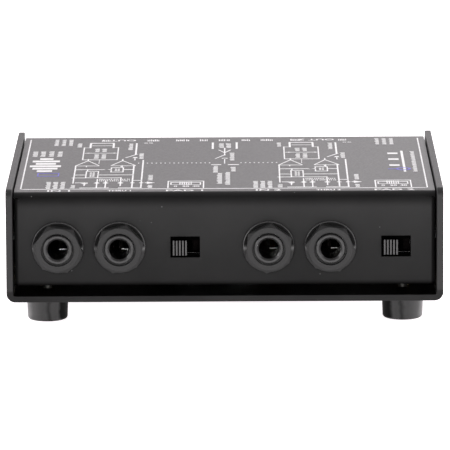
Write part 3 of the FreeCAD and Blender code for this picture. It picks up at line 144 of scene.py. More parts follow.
def make_world():
    """White surroundings that fall off overhead and grow dim towards the camera's side."""
    world = bpy.data.worlds.new("studio")
    world.use_nodes = True
    tree = world.node_tree
    background = tree.nodes["Background"]
    background.inputs["Color"].default_value = WORLD_WHITE
    towards_rear = fade(tree, coordinate(tree, "Generated", "Y"), -0.85, 0.05, 0.12, 1.67)
    overhead = fade(tree, coordinate(tree, "Generated", "Z"), 0.25, 0.95, 1.0, 0.55)
    strength = compute(tree, "MULTIPLY", towards_rear, overhead)
    tree.links.new(strength, background.inputs["Strength"])
    bpy.context.scene.world = world


def make_studio():
    """White surroundings, a pale floor and soft lights, two of them low enough to light the jacks."""
    make_world()
    bpy.context.scene.view_settings.view_transform = "Standard"
    for light in SOFTBOXES:
        add_softbox(*light)
    mesh = bpy.data.meshes.new("floor")
    reach = 4.0
    corners = [(-reach, -reach, 0), (reach, -reach, 0), (reach, reach, 0), (-reach, reach, 0)]
    mesh.from_pydata(corners, [], [(0, 1, 2, 3)])
    floor = bpy.data.objects.new("floor", mesh)
    bpy.context.scene.collection.objects.link(floor)
    floor.data.materials.append(floor_material())


# ---------------------------------------------------------------- materials

def new_material(name):
    """A node material with its shader and links, ready to be wired."""
    material = bpy.data.materials.new(name)
    material.use_nodes = True
    tree = material.node_tree
    return material, tree, tree.nodes["Principled BSDF"]


def noise(tree, scale, detail=3.0, stretch=(1.0, 1.0, 1.0)):
    """Noise in the piece's own coordinates, with its scale in cells per metre."""
    place = tree.nodes.new("ShaderNodeTexCoord")
    mapping = tree.nodes.new("ShaderNodeMapping")
    mapping.inputs["Scale"].default_value = stretch
    texture = tree.nodes.new("ShaderNodeTexNoise")
    texture.inputs["Scale"].default_value = scale
    texture.inputs["Detail"].default_value = detail
    tree.links.new(place.outputs["Object"], mapping.inputs["Vector"])
    tree.links.new(mapping.outputs["Vector"], texture.inputs["Vector"])
    return texture


def scattered(tree, scale):
    """Distance to the nearest of many scattered points, in cells of 1/scale metres."""
    place = tree.nodes.new("ShaderNodeTexCoord")
    cells = tree.nodes.new("ShaderNodeTexVoronoi")
    cells.inputs["Scale"].default_value = scale
    tree.links.new(place.outputs["Object"], cells.inputs["Vector"])
    return cells.outputs["Distance"]


def ramp(tree, source, low, high, start=0.35, end=0.65):
    """Blend between two colours along a noise, or along another value from start to end."""
    node = tree.nodes.new("ShaderNodeValToRGB")
    node.color_ramp.elements[0].position = start
    node.color_ramp.elements[1].position = end
    node.color_ramp.elements[0].color = (*low, 1.0)
    node.color_ramp.elements[1].color = (*high, 1.0)
    tree.links.new(source, node.inputs["Fac"])
    return node.outputs["Color"]


def spread(tree, source, low, high, start=0.3, end=0.7):
    """Stretch a noise, or another value from start to end, to a range of values."""
    node = tree.nodes.new("ShaderNodeMapRange")
    node.inputs["From Min"].default_value = start
    node.inputs["From Max"].default_value = end
    node.inputs["To Min"].default_value = low
    node.inputs["To Max"].default_value = high
    tree.links.new(source, node.inputs["Value"])
    return node.outputs["Result"]


def add_bump(tree, shader, source, depth, strength=1.0):
    """Raise the surface by a noise, with the depth in metres."""
    node = tree.nodes.new("ShaderNodeBump")
    node.inputs["Strength"].default_value = strength
    node.inputs["Distance"].default_value = depth
    tree.links.new(source, node.inputs["Height"])
    tree.links.new(node.outputs["Normal"], shader.inputs["Normal"])


def coordinate(tree, kind, axis):
    """One axis of a piece's own place ("Object") or facing ("Normal"), or of the world's ("Generated")."""
    place = tree.nodes.new("ShaderNodeTexCoord")
    axes = tree.nodes.new("ShaderNodeSeparateXYZ")
    tree.links.new(place.outputs[kind], axes.inputs["Vector"])
    return axes.outputs[axis]


def fade(tree, source, start, end, low=0.0, high=1.0):
    """A soft step of a value from low, up to the start, to high, from the end on."""
    node = tree.nodes.new("ShaderNodeMapRange")
    node.interpolation_type = "SMOOTHSTEP"
    node.inputs["From Min"].default_value = start
    node.inputs["From Max"].default_value = end
    node.inputs["To Min"].default_value = low
    node.inputs["To Max"].default_value = high
    tree.links.new(source, node.inputs["Value"])
    return node.outputs["Result"]


def graded(tree, source, stops):
    """Grey levels at several places between 0 and 1."""
    node = tree.nodes.new("ShaderNodeValToRGB")
    while len(node.color_ramp.elements) < len(stops):
        node.color_ramp.elements.new(0.5)
    for element, (place, level) in zip(node.color_ramp.elements, stops):
        element.position = place
        element.color = (level, level, level, 1.0)
    tree.links.new(source, node.inputs["Fac"])
    return node.outputs["Color"]


def compute(tree, operation, first, second=None):
    """The sum, product or another operation of a socket with a second socket, a number or nothing."""
    node = tree.nodes.new("ShaderNodeMath")
    node.operation = operation
    tree.links.new(first, node.inputs[0])
    if isinstance(second, float):
        node.inputs[1].default_value = second
    elif second is not None:
        tree.links.new(second, node.inputs[1])
    return node.outputs["Value"]


def add_grain(tree, shader, scale, rough, depth, stretch=(1.0, 1.0, 1.0)):
    """Fine grain in the surface's relief, and in its roughness between two values."""
    fine = noise(tree, scale, 3.0, stretch).outputs["Fac"]
    tree.links.new(spread(tree, fine, *rough), shader.inputs["Roughness"])
    add_bump(tree, shader, fine, depth)


def textured(name, low, high, rough, grain, depth, patch=60.0, metallic=0.0,
             stretch=(1.0, 1.0, 1.0), specular=0.5):
    """A surface whose tone drifts in patches, with fine grain in its relief and gloss."""
    material, tree, shader = new_material(name)
    patches = noise(tree, patch, 4.0, stretch)
    tree.links.new(ramp(tree, patches.outputs["Fac"], low, high), shader.inputs["Base Color"])
    add_grain(tree, shader, grain, rough, depth, stretch)
    shader.inputs["Metallic"].default_value = metallic
    shader.inputs["Specular IOR Level"].default_value = specular
    return material


def grey(level, warmth=0.0):
    """A neutral colour, a touch warmer or cooler."""
    return (level * (1 + warmth), level, level * (1 - warmth))


def floor_material():
    """Matt white table, lit from below as well, so that shadows stay faint."""
    material = textured(
        "floor", grey(0.80), grey(0.84),
        rough=(0.7, 0.9), grain=300.0, depth=0.05 * MM, patch=3.0, specular=0.2,
    )
    shader = material.node_tree.nodes["Principled BSDF"]
    shader.inputs["Emission Color"].default_value = FLOOR_WHITE
    shader.inputs["Emission Strength"].default_value = 1.0
    return material


def base_coat():
    """Fine-textured powder coat of the base sheet, with painted shade: duller low down and black on the
    floor inside.
    """
    material, tree, shader = new_material("base_coat")
    low_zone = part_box("base_chassis")[0].z + 3.0 * MM
    height = coordinate(tree, "Object", "Z")
    low_down = fade(tree, height, low_zone, low_zone + 1.0 * MM, 1.0, 0.0)
    upwards = fade(tree, coordinate(tree, "Normal", "Z"), 0.5, 0.8)
    # Painted shade: the gloss drops low down, which darkens the lower edge.
    gloss = fade(tree, low_down, 0.0, 1.0, 0.26, 0.07)
    # Painted shade: colour and gloss drop to 6% on the upward faces of the floor inside.
    painted_floor_shade = fade(tree, compute(tree, "MULTIPLY", low_down, upwards), 0.0, 1.0, 1.0, 0.06)
    tone = spread(tree, noise(tree, 60.0, 4.0).outputs["Fac"], 0.014, 0.020)
    tree.links.new(compute(tree, "MULTIPLY", tone, painted_floor_shade), shader.inputs["Base Color"])
    tree.links.new(compute(tree, "MULTIPLY", gloss, painted_floor_shade), shader.inputs["Specular IOR Level"])
    add_grain(tree, shader, 2600.0, (0.42, 0.56), 0.03 * MM)
    return material


def painted_occlusion_shade(tree, distance, low):
    """Painted shade: 1 on an open face, down to low in a corner or beside another piece."""
    shelter = tree.nodes.new("ShaderNodeAmbientOcclusion")
    shelter.samples = 8
    shelter.inputs["Distance"].default_value = distance
    return fade(tree, shelter.outputs["AO"], 0.35, 1.0, low, 1.0)


def cover_paint():
    """Smooth black paint of the cover, with a few dust specks.

    Its gloss carries painted shade: it grows with height, so the front panel darkens downwards, and it is
    low in corners, below the upper bend and at the lower edge, where the colour is painted darker too.
    """
    material, tree, shader = new_material("cover_paint")
    height = coordinate(tree, "Object", "Z")
    # Painted shade: less gloss lower down.
    gloss = spread(tree, height, 0.09, 0.185, COVER_LOW.z, TOP)
    # Painted shade along the lower edge, in both colour and gloss.
    clear_of_edge_shade = fade(tree, height, COVER_LOW.z - 0.4 * MM, COVER_LOW.z + 1.7 * MM)
    upright = fade(tree, compute(tree, "ABSOLUTE", coordinate(tree, "Normal", "Y")), 0.85, 1.0)
    # Painted shade in a band below the upper bend, on faces that look forwards or back.
    below_bend = fade(tree, height, TOP - 5.6 * MM, TOP - 1.6 * MM, 0.0, 0.9)
    dull = compute(tree, "MULTIPLY", upright, below_bend)
    clear_of_bend = spread(tree, dull, 1.0, 0.0, 0.0, 1.0)
    for share in (painted_occlusion_shade(tree, 2.5 * MM, 0.5), clear_of_edge_shade, clear_of_bend):
        gloss = compute(tree, "MULTIPLY", gloss, share)
    tree.links.new(gloss, shader.inputs["Specular IOR Level"])
    tone = spread(tree, noise(tree, 60.0, 4.0).outputs["Fac"], 0.006, 0.009)
    specks = fade(tree, scattered(tree, 180.0), 0.02, 0.04, 0.10, 0.0)
    colour = compute(tree, "MULTIPLY", compute(tree, "MAXIMUM", tone, specks), clear_of_edge_shade)
    tree.links.new(colour, shader.inputs["Base Color"])
    add_grain(tree, shader, 1800.0, (0.34, 0.42), 0.012 * MM)
    return material


def print_ink():
    """White screen print, a little uneven where the ink lay thin."""
    return textured(
        "print_ink", grey(0.70), grey(0.86),
        rough=(0.45, 0.6), grain=2400.0, depth=0.01 * MM, patch=700.0,
    )


def accent_ink():
    """Blue screen print."""
    low = (0.08, 0.07, 0.42)
    high = (0.12, 0.10, 0.58)
    return textured(
        "accent_ink", low, high,
        rough=(0.45, 0.6), grain=2400.0, depth=0.01 * MM, patch=700.0,
    )


def black_screw():
    """Black-finished steel, worn a little in patches."""
    return textured(
        "black_screw", grey(0.012), grey(0.03),
        rough=(0.28, 0.45), grain=3000.0, depth=0.01 * MM, patch=900.0,
    )


def zinc_screw():
    """Zinc-plated steel, dull and dark."""
    low = (0.07, 0.07, 0.065)
    high = (0.13, 0.13, 0.12)
    return textured(
        "zinc_screw", low, high,
        rough=(0.45, 0.6), grain=2500.0, depth=0.01 * MM, patch=500.0, metallic=1.0,
    )


def foot_rubber():
    """Moulded rubber, patchy in tone, with painted light on the sides that face outwards and painted shade
    on the inner ones.

    The stops of painted tone and gloss run from inwards, at 0, to outwards, at 1.
    """
    material, tree, shader = new_material("foot_rubber")
    side = compute(tree, "SIGN", coordinate(tree, "Object", "X"))
    outwards = compute(tree, "MULTIPLY", coordinate(tree, "Normal", "X"), side)
    patches = noise(tree, 260.0, 4.0)
    blotch = spread(tree, patches.outputs["Fac"], -0.06, 0.06)
    facing = spread(tree, compute(tree, "ADD", outwards, blotch), 0.0, 1.0, -1.0, 1.0)
    # Painted light and shade: tone and gloss follow which way a face turns, with a painted highlight at
    # the outer rim and dark inner sides.
    painted_tones = ((0.0, 0.001), (0.17, 0.002), (0.24, 0.024), (0.37, 0.015), (0.44, 0.001), (0.54, 0.012),
            (0.62, 0.018), (0.86, 0.037), (1.0, 0.14))
    gloss = ((0.0, 0.03), (0.17, 0.06), (0.24, 0.42), (0.37, 0.42), (0.44, 0.22), (0.54, 0.42))
    tree.links.new(graded(tree, facing, painted_tones), shader.inputs["Base Color"])
    tree.links.new(graded(tree, facing, gloss), shader.inputs["Specular IOR Level"])
    add_grain(tree, shader, 1500.0, (0.36, 0.52), 0.03 * MM)
    return material


def jack_plastic():
    """Moulded nylon of the jack bodies."""
    return textured(
        "jack_plastic", grey(0.005), grey(0.010),
        rough=(0.24, 0.36), grain=2200.0, depth=0.01 * MM, patch=300.0, specular=0.46,
    )


def nut_plastic():
    """Nylon of the nuts, with a painted highlight on the upper rim of the foot, and painted shade on its
    upper face and on faces that turn downwards.

    The region is 0 on the body, 0.5 on the foot's upper rim and 1 on its upper face.
    """
    material, tree, shader = new_material("nut_plastic")
    nut_low, nut_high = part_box("jack_nut_input_1")
    foot_face = nut_high.y - NUT_FOOT_THICKNESS
    axis = (nut_low.z + nut_high.z) / 2
    # Painted shade on the foot's upper face, above the axis only, and a painted highlight on its upper
    # rim.
    behind = fade(tree, coordinate(tree, "Object", "Y"), foot_face - 0.2 * MM, foot_face - 0.1 * MM)
    above = fade(tree, coordinate(tree, "Object", "Z"), axis - 1.5 * MM, axis + 1.0 * MM)
    foot = compute(tree, "MULTIPLY", behind, above)
    # Painted shade: gloss drops on faces that turn downwards.
    painted_under_shade = fade(tree, coordinate(tree, "Normal", "Z"), -0.8, -0.3, 0.1, 1.0)
    flat = fade(tree, compute(tree, "ABSOLUTE", coordinate(tree, "Normal", "Y")), 0.80, 0.97)
    flat_foot = compute(tree, "MULTIPLY", foot, flat)
    region = spread(tree, compute(tree, "ADD", foot, flat_foot), 0.0, 1.0, 0.0, 2.0)
    tone = graded(tree, region, ((0.0, 0.018), (0.5, 0.060), (1.0, 0.004)))
    gloss = graded(tree, region, ((0.0, 0.19), (0.5, 0.64), (1.0, 0.05)))
    tree.links.new(tone, shader.inputs["Base Color"])
    tree.links.new(compute(tree, "MULTIPLY", gloss, painted_under_shade), shader.inputs["Specular IOR Level"])
    add_grain(tree, shader, 1600.0, (0.30, 0.42), 0.02 * MM)
    return material


def contact_metal():
    """Tin-plated spring strip, bright at the mouth of the jack, with painted shade that darkens it further
    in.
    """
    material, tree, shader = new_material("contact_metal")
    # Painted shade: past this depth the strip turns dark, where the inside of the jack lies in shade.
    shade_start = FRONT_FACE + BRIGHT_CONTACT_DEPTH
    shade_end = shade_start + 1.5 * MM
    bright = fade(tree, coordinate(tree, "Object", "Y"), shade_start, shade_end, 1.0, 0.0)
    colour = ramp(tree, bright, grey(0.03, 0.1), grey(0.95, 0.01), 0.0, 1.0)
    tree.links.new(colour, shader.inputs["Base Color"])
    add_grain(tree, shader, 2500.0, (0.24, 0.40), 0.01 * MM, (1.0, 0.15, 1.0))
    shader.inputs["Metallic"].default_value = 1.0
    return material


def shell_steel():
    """Steel of the switch shells, black and without reflection on its faces as painted shade, and bare on
    its sheared edges, painted brighter than bare steel as a painted glint.
    """
    material, tree, shader = new_material("shell_steel")
    facing = compute(tree, "ABSOLUTE", coordinate(tree, "Normal", "Y"))
    shaded_face = fade(tree, facing, 0.5, 0.8)
    # Painted shade on the faces, black and without reflection; painted glint on the sheared edges.
    tree.links.new(ramp(tree, shaded_face, grey(0.85), grey(0.001), 0.0, 1.0), shader.inputs["Base Color"])
    tree.links.new(fade(tree, shaded_face, 0.0, 1.0, 0.4, 0.0), shader.inputs["Metallic"])
    tree.links.new(fade(tree, shaded_face, 0.0, 1.0, 0.5, 0.0), shader.inputs["Specular IOR Level"])
    add_grain(tree, shader, 1500.0, (0.3, 0.5), 0.01 * MM)
    return material


def switch_insulator():
    """Dark pressed laminate."""
    return textured(
        "switch_insulator", (0.003, 0.002, 0.002), (0.006, 0.004, 0.004),
        rough=(0.6, 0.8), grain=2500.0, depth=0.03 * MM, patch=800.0, specular=0.05,
    )


def knob_plastic():
    """Black plastic of the sliding knobs, with painted highlights on the crests of the ridges and painted
    shade, black and without reflection, on the rest.
    """
    material, tree, shader = new_material("knob_plastic")
    along = coordinate(tree, "Object", "Y")
    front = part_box("switch_slider_pad_1")[0].y
    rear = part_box("switch_slider_power")[1].y
    before = fade(tree, along, front + KNOB_CREST_DEPTH, front + 1.4 * KNOB_CREST_DEPTH, 1.0, 0.0)
    behind = fade(tree, along, rear - 1.4 * KNOB_CREST_DEPTH, rear - KNOB_CREST_DEPTH)
    crest = compute(tree, "ADD", before, behind)
    # Painted highlight on the crests; painted shade on the rest.
    tree.links.new(ramp(tree, crest, grey(0.0005), grey(0.062), 0.0, 1.0), shader.inputs["Base Color"])
    tree.links.new(fade(tree, crest, 0.0, 1.0, 0.0, 0.24), shader.inputs["Specular IOR Level"])
    add_grain(tree, shader, 1800.0, (0.35, 0.5), 0.01 * MM)
    return material


def tinned_terminal():
    """Solder-dipped terminals."""
    low = (0.55, 0.55, 0.53)
    high = (0.74, 0.74, 0.71)
    return textured(
        "tinned_terminal", low, high,
        rough=(0.2, 0.45), grain=900.0, depth=0.04 * MM, patch=500.0, metallic=1.0,
    )


def xlr_black():
    """Moulded black connector shell."""
    return textured(
        "xlr_black", grey(0.009), grey(0.016),
        rough=(0.28, 0.42), grain=1900.0, depth=0.02 * MM, patch=300.0,
    )


def xlr_silver():
    """Silver-plated pins, tarnished in places."""
    low = (0.62, 0.58, 0.50)
    high = (0.88, 0.86, 0.82)
    return textured(
        "xlr_silver", low, high,
        rough=(0.12, 0.3), grain=1500.0, depth=0.01 * MM, patch=600.0, metallic=1.0,
    )


def board_laminate():
    """Green solder mask over glass cloth."""
    low = (0.004, 0.035, 0.012)
    high = (0.008, 0.065, 0.022)
    return textured(
        "board_laminate", low, high,
        rough=(0.25, 0.4), grain=1500.0, depth=0.02 * MM, patch=250.0,
    )


def post_brass():
    """Nickel-washed brass supports."""
    low = (0.45, 0.36, 0.20)
    high = (0.60, 0.50, 0.30)
    return textured(
        "post_brass", low, high,
        rough=(0.2, 0.4), grain=1500.0, depth=0.01 * MM, patch=500.0, metallic=1.0,
    )


def clip_steel():
    """Rolled spring steel."""
    low = (0.36, 0.36, 0.36)
    high = (0.52, 0.52, 0.51)
    stretch = (0.1, 1.0, 1.0)
    return textured(
        "clip_steel", low, high,
        rough=(0.25, 0.45), grain=2500.0, depth=0.01 * MM, patch=500.0, metallic=1.0, stretch=stretch,
    )


def battery_jacket():
    """Lacquered steel jacket, dark with a copper band at the stud end."""
    material, tree, shader = new_material("battery_jacket")
    low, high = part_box("battery_9v")
    band_start = low.x + (high.x - low.x) * 0.68
    band = compute(tree, "GREATER_THAN", coordinate(tree, "Object", "X"), band_start)
    copper = (0.42, 0.17, 0.06)
    tree.links.new(ramp(tree, band, grey(0.02), copper, 0.4, 0.6), shader.inputs["Base Color"])
    add_grain(tree, shader, 900.0, (0.25, 0.4), 0.01 * MM)
    return material


def snap_plastic():
    """Vinyl of the battery connector."""
    return textured(
        "snap_plastic", grey(0.012), grey(0.02),
        rough=(0.35, 0.5), grain=1500.0, depth=0.02 * MM, patch=300.0,
    )


def lead_insulation():
    """Vinyl insulation of the leads."""
    low = (0.07, 0.004, 0.003)
    high = (0.11, 0.007, 0.005)
    return textured(
        "lead_insulation", low, high,
        rough=(0.3, 0.45), grain=1500.0, depth=0.01 * MM, patch=300.0,
    )


def capacitor_sleeve():
    """Printed shrink sleeve."""
    low = (0.006, 0.010, 0.035)
    high = (0.012, 0.020, 0.060)
    return textured(
        "capacitor_sleeve", low, high,
        rough=(0.25, 0.4), grain=1200.0, depth=0.01 * MM, patch=300.0,
    )


def film_case():
    """Dark red moulded capacitor case."""
    low = (0.035, 0.004, 0.003)
    high = (0.055, 0.006, 0.004)
    return textured(
        "film_case", low, high,
        rough=(0.25, 0.4), grain=1500.0, depth=0.02 * MM, patch=300.0,
    )


def chip_epoxy():
    """Matt epoxy of the amplifier packages."""
    return textured(
        "chip_epoxy", grey(0.012), grey(0.02),
        rough=(0.5, 0.65), grain=3000.0, depth=0.02 * MM, patch=400.0,
    )


def resistor_coat():
    """Blue lacquer."""
    low = (0.06, 0.20, 0.36)
    high = (0.09, 0.27, 0.45)
    return textured(
        "resistor_coat", low, high,
        rough=(0.25, 0.4), grain=1500.0, depth=0.02 * MM, patch=300.0,
    )


def diode_body():
    """Amber glass body."""
    low = (0.22, 0.06, 0.02)
    high = (0.36, 0.12, 0.04)
    return textured(
        "diode_body", low, high,
        rough=(0.1, 0.25), grain=1500.0, depth=0.01 * MM, patch=300.0,
    )


FINISHES = (
    base_coat, cover_paint, print_ink, accent_ink, black_screw, zinc_screw, foot_rubber,
    jack_plastic, nut_plastic, contact_metal, shell_steel, switch_insulator, knob_plastic,
    tinned_terminal, xlr_black, xlr_silver, board_laminate, post_brass, clip_steel,
    battery_jacket, snap_plastic, lead_insulation, capacitor_sleeve, film_case, chip_epoxy,
    resistor_coat, diode_body,
)
MATERIALS = {finish.__name__: finish() for finish in FINISHES}


def dress_frame():
    """Give every CAD node the material of its slot."""
    for row in frame["record"]["subparts"]:
        node = frame["nodes"][row["node"]]
        material = MATERIALS[row["material_slot"]]
        if not node.material_slots:
            node.data.materials.append(material)
        for holder in node.material_slots:
            holder.material = material


# ---------------------------------------------------------------- print on the cover

class Print:
    """Thin raised ink on the cover, collected stroke by stroke into one piece.

    Places are (u, v) in millimetres: u from this print's own origin, v from the front face.
    """

    depth = 0.02 * MM
    height = 0.03 * MM
    layers = 7
    layer_step = 0.002 * MM
    thinnest_mark, thickest_mark = 0.30, 0.46
    mark_gap = 0.24
    word_gap = 0.25

    def __init__(self, name, origin_across=0.0, slot="print_ink"):
        self.name = name
        self.origin = origin_across
        self.slot = slot
        self.mesh = bmesh.new()

    def to_model(self, u, v, z):
        """The model's place of a point of the print."""
        return Vector((self.origin + u * MM, FRONT_FACE + v * MM, z))

    def patch(self, outline):
        """A flat patch of ink with an anticlockwise outline, a hair above or below its neighbours."""
        layer = len(self.mesh.faces) % self.layers
        face = TOP + self.height + layer * self.layer_step
        low = [self.mesh.verts.new(self.to_model(u, v, TOP - self.depth)) for u, v in outline]
        high = [self.mesh.verts.new(self.to_model(u, v, face)) for u, v in outline]
        self.mesh.faces.new(high)
        self.mesh.faces.new(low[::-1])
        count = len(outline)
        for index in range(count):
            after = (index + 1) % count
            self.mesh.faces.new((low[index], low[after], high[after], high[index]))

    def bar(self, left, near, right, far):
        """An upright rectangle of ink."""
        self.patch([(left, near), (right, near), (right, far), (left, far)])

    def line(self, start, end, width=None):
        """A straight stroke between two points; strokes across are wider than strokes back."""
        across, back = end[0] - start[0], end[1] - start[1]
        if width is None:
            width = STROKE_ACROSS if abs(across) > abs(back) else STROKE_BACK
        along = Vector((across, back)).normalized() * (width / 2)
        side = Vector((-along.y, along.x))
        overlap = along.normalized() * (STROKE_BACK / 2)
        begin = Vector(start) - overlap
        finish = Vector(end) + overlap
        corners = (begin - side, finish - side, finish + side, begin + side)
        self.patch([tuple(corner) for corner in corners])

    def path(self, points, width=None):
        """Strokes through several points."""
        for start, end in zip(points, points[1:]):
            self.line(start, end, width)

    def ring(self, middle, radius, width, steps=24):
        """A circle of ink."""
        turn = 2 * math.pi / steps
        for step in range(steps):
            edges = []
            for angle in (step * turn, (step + 1) * turn):
                ray = Vector((math.cos(angle), math.sin(angle)))
                edges.append(Vector(middle) + ray * (radius - width / 2))
                edges.append(Vector(middle) + ray * (radius + width / 2))
            self.patch([tuple(edges[i]) for i in (0, 1, 3, 2)])

    def arrow(self, tip, towards, size=1.2):
        """A filled arrow head that points towards a direction."""
        ahead = Vector(towards).normalized() * size
        side = Vector((-ahead.y, ahead.x)) * 0.55
        back = Vector(tip) - ahead
        self.patch([tuple(back - side), tuple(tip), tuple(back + side)])

    def marks(self, start, length, height, upwards=True):
        """A row of letter-sized strokes that stands for small print, along v or along u."""
        reach = 0.0
        while reach < length:
            for _ in range(random.randint(3, 7)):
                stroke = min(random.uniform(self.thinnest_mark, self.thickest_mark), length - reach)
                tall = height * random.choice((0.8, 0.9, 1.0))
                if upwards:
                    self.bar(start[0] + height - tall, start[1] + reach,
                             start[0] + height, start[1] + reach + stroke)
                else:
                    self.bar(start[0] + reach, start[1], start[0] + reach + stroke, start[1] + tall)
                reach += stroke + self.mark_gap
                if reach >= length:
                    break
            reach += self.word_gap

    def words(self, text, middle, size, stretch=1.0, turned=0.0):
        """Plain bold lettering, centred on a point, widened and turned by an angle in degrees."""
        curve = bpy.data.curves.new("lettering", "FONT")
        curve.body = text
        curve.size = size * MM
        curve.align_x = "CENTER"
        curve.align_y = "CENTER"
        curve.resolution_u = 3
        curve.offset = LETTER_SWELL * MM
        curve.extrude = (self.height + self.depth) / 2
        holder = bpy.data.objects.new("lettering", curve)
        solid = bpy.data.meshes.new_from_object(holder)
        middle_height = TOP + (self.height - self.depth) / 2
        place = Matrix.Translation(self.to_model(*middle, middle_height))
        wide = Matrix.Diagonal((stretch, 1.0, 1.0, 1.0))
        solid.transform(place @ Matrix.Rotation(math.radians(turned), 4, "Z") @ wide)
        self.mesh.from_mesh(solid)
        bpy.data.meshes.remove(solid)
        bpy.data.objects.remove(holder)
        bpy.data.curves.remove(curve)

    def finish(self):
        """Turn the collected strokes into a piece that rides with the box."""
        bmesh.ops.remove_doubles(self.mesh, verts=self.mesh.verts, dist=1e-7)
        bmesh.ops.recalc_face_normals(self.mesh, faces=self.mesh.faces)
        data = bpy.data.meshes.new(self.name)
        self.mesh.to_mesh(data)
        self.mesh.free()
        piece = bpy.data.objects.new(self.name, data)
        bpy.context.scene.collection.objects.link(piece)
        data.materials.append(MATERIALS[self.slot])
        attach(piece, "root")


def print_border():
    """Line round the drawing, open at the rear, with rounded front corners."""
    ink = Print("print_border")
    left, right = -65.3, 65.0
    front, rear = 6.3, 101.5
    corner = 1.0
    for side, sign in ((left, -1), (right, 1)):
        ink.line((side, front + corner), (side, rear), 0.45)
        arc = []
        for step in range(5):
            angle = math.radians(22.5 * step)
            across = side - sign * corner * (1 - math.cos(angle))
            arc.append((across, front + corner - corner * math.sin(angle)))
        ink.path(arc, 0.45)
    ink.line((left + corner, front), (right - corner, front))
    ink.finish()


def draw_pad_symbol(ink, number):
    """The attenuator switch as seen from the front, its three values and its label."""
    left, right = 35.2, 46.6
    slot_left, slot_right = 36.1, 45.6
    slot_near, slot_far = 13.7, 17.6
    middle = (left + right) / 2
    value_pitch = 3.3
    ink.path([(left, 7.6), (left, 20.2), (right, 20.2), (right, 7.6)])
    near_left, near_right = (slot_left, slot_near), (slot_right, slot_near)
    ink.path([near_left, (slot_left, slot_far), (slot_right, slot_far), near_right])
    ink.line(near_left, near_right, 0.5)
    for step in range(6):
        across = 39.0 + 0.72 * step
        ink.line((across, 14.2), (across, 18.6), 0.36)
    for place, text in ((-1, "0"), (0, "20"), (1, "40")):
        ink.words(text, (middle + place * value_pitch, 10.8), 3.2, 0.72)
    ink.words("PAD %d" % number, (middle, LABEL_PLACE), LABEL_SIZE, 1.5)


def draw_amplifiers(ink):
    """Two amplifier triangles with their feedback and input lines."""
    for apex, left, right in ((8.3, 4.6, 12.0), (19.7, 16.2, 24.0)):
        ink.path([(left, 50.4), (apex, 59.6), (right, 50.4)], 0.45)
        ink.line((left, 49.6), (right, 49.6), 0.7)
        ink.line((apex, 59.6), (apex, 62.4), 0.4)
        ink.bar(apex - 0.5, 47.6, apex - 0.1, 50.0)
    ink.line((4.5, 17.0), (4.5, 50.4), 0.45)
    ink.line((8.6, 39.8), (8.6, 43.0), 0.4)
    ink.line((12.0, 53.5), (12.0, 60.5), 0.2)
    ink.line((19.8, 46.3), (19.8, 50.2), 0.4)
    ink.line((4.5, 42.5), (16.3, 42.5))
    ink.line((20.2, 42.4), (23.6, 42.4))
    ink.line((4.5, 32.4), (8.3, 32.4))
    ink.line((12.2, 32.4), (23.6, 32.4))
    ink.line((4.0, 27.0), (8.3, 27.0))
    ink.line((12.2, 27.0), (19.8, 27.0))
    ink.line((5.3, 17.9), (9.0, 17.9))
    ink.arrow((15.6, 42.5), (1, 0), 1.4)


def draw_blocks(ink):
    """Two small labelled blocks between the amplifiers' lines."""
    for left, near, right, far in ((8.3, 27.2, 12.2, 39.4), (16.3, 37.8, 20.2, 46.1)):
        ink.path([(left, near), (right, near), (right, far), (left, far), (left, near)])
        middle = (left + right) / 2 - 0.85
        for row in (0.0, 0.95):
            ink.marks((middle + row, near + 2.0), far - near - 4.0, 0.75)


def draw_output(ink, number):
    """The output connector, its lines of small print and its label."""
    left, right = 6.4, 17.8
    neck_left, neck_right = 8.4, 16.1
    near, shoulder, far = 61.4, 85.0, 94.0
    for across in (left, right):
        ink.line((across, near), (across, shoulder + 0.4))
    for across in (neck_left, neck_right):
        ink.line((across, shoulder - 0.2), (across, far - 0.4), 0.7)
    ink.line((left, near), (right, near))
    ink.line((left, shoulder), (neck_left, shoulder), 0.5)
    ink.line((neck_right, shoulder), (right, shoulder), 0.5)
    ink.line((neck_left, far), (neck_right, far), 1.1)
    ink.line((9.2, 89.0), (15.4, 89.0), 0.7)
    for across in (10.0, 12.4):
        for start, reach in ((63.6, 8.6), (76.9, 6.2)):
            ink.marks((across, start), reach, 1.6)
    ink.line((7.0, 74.4), (17.2, 74.4), 0.7)
    for across, towards in ((9.2, 1), (15.4, -1)):
        ink.arrow((across, 74.4), (towards, 0), 1.5)
    ink.words("OUT %d" % number, (17.5, 99.6), 3.8, 1.1, 180.0)


def draw_inputs(ink, number):
    """Input lines at the front edge, with arrows, small print and the jacks' labels."""
    for across, near, far in ((12.2, 8.3, 24.5), (15.0, 8.3, 21.2), (19.8, 11.9, 27.4)):
        ink.line((across, near), (across, far))
        ink.arrow((across, min(far, 19.2)), (0, 1), 2.0)
        ink.bar(across - 0.7, 16.6, across + 0.7, 17.6)
    ink.line((8.2, 12.2), (8.2, 18.3))
    ink.arrow((8.2, 14.6), (0, -1), 2.2)
    ink.line((7.0, 8.4), (16.0, 8.4))
    ink.line((19.4, 8.4), (26.5, 8.4))
    for near in (20.6, 23.4):
        ink.marks((12.8, near), 10.0, 1.6, upwards=False)
    for across in (-4.2, -1.9, 0.4):
        ink.marks((across, 7.2), 12.6, 1.6)
    ink.marks((3.7, 7.9), 6.0, 1.6)
    ink.words("IN %d" % number, (0.6, LABEL_PLACE), LABEL_SIZE, 1.45)
    ink.words("THRU %d" % number, (19.9, LABEL_PLACE), 2.9, 0.8)


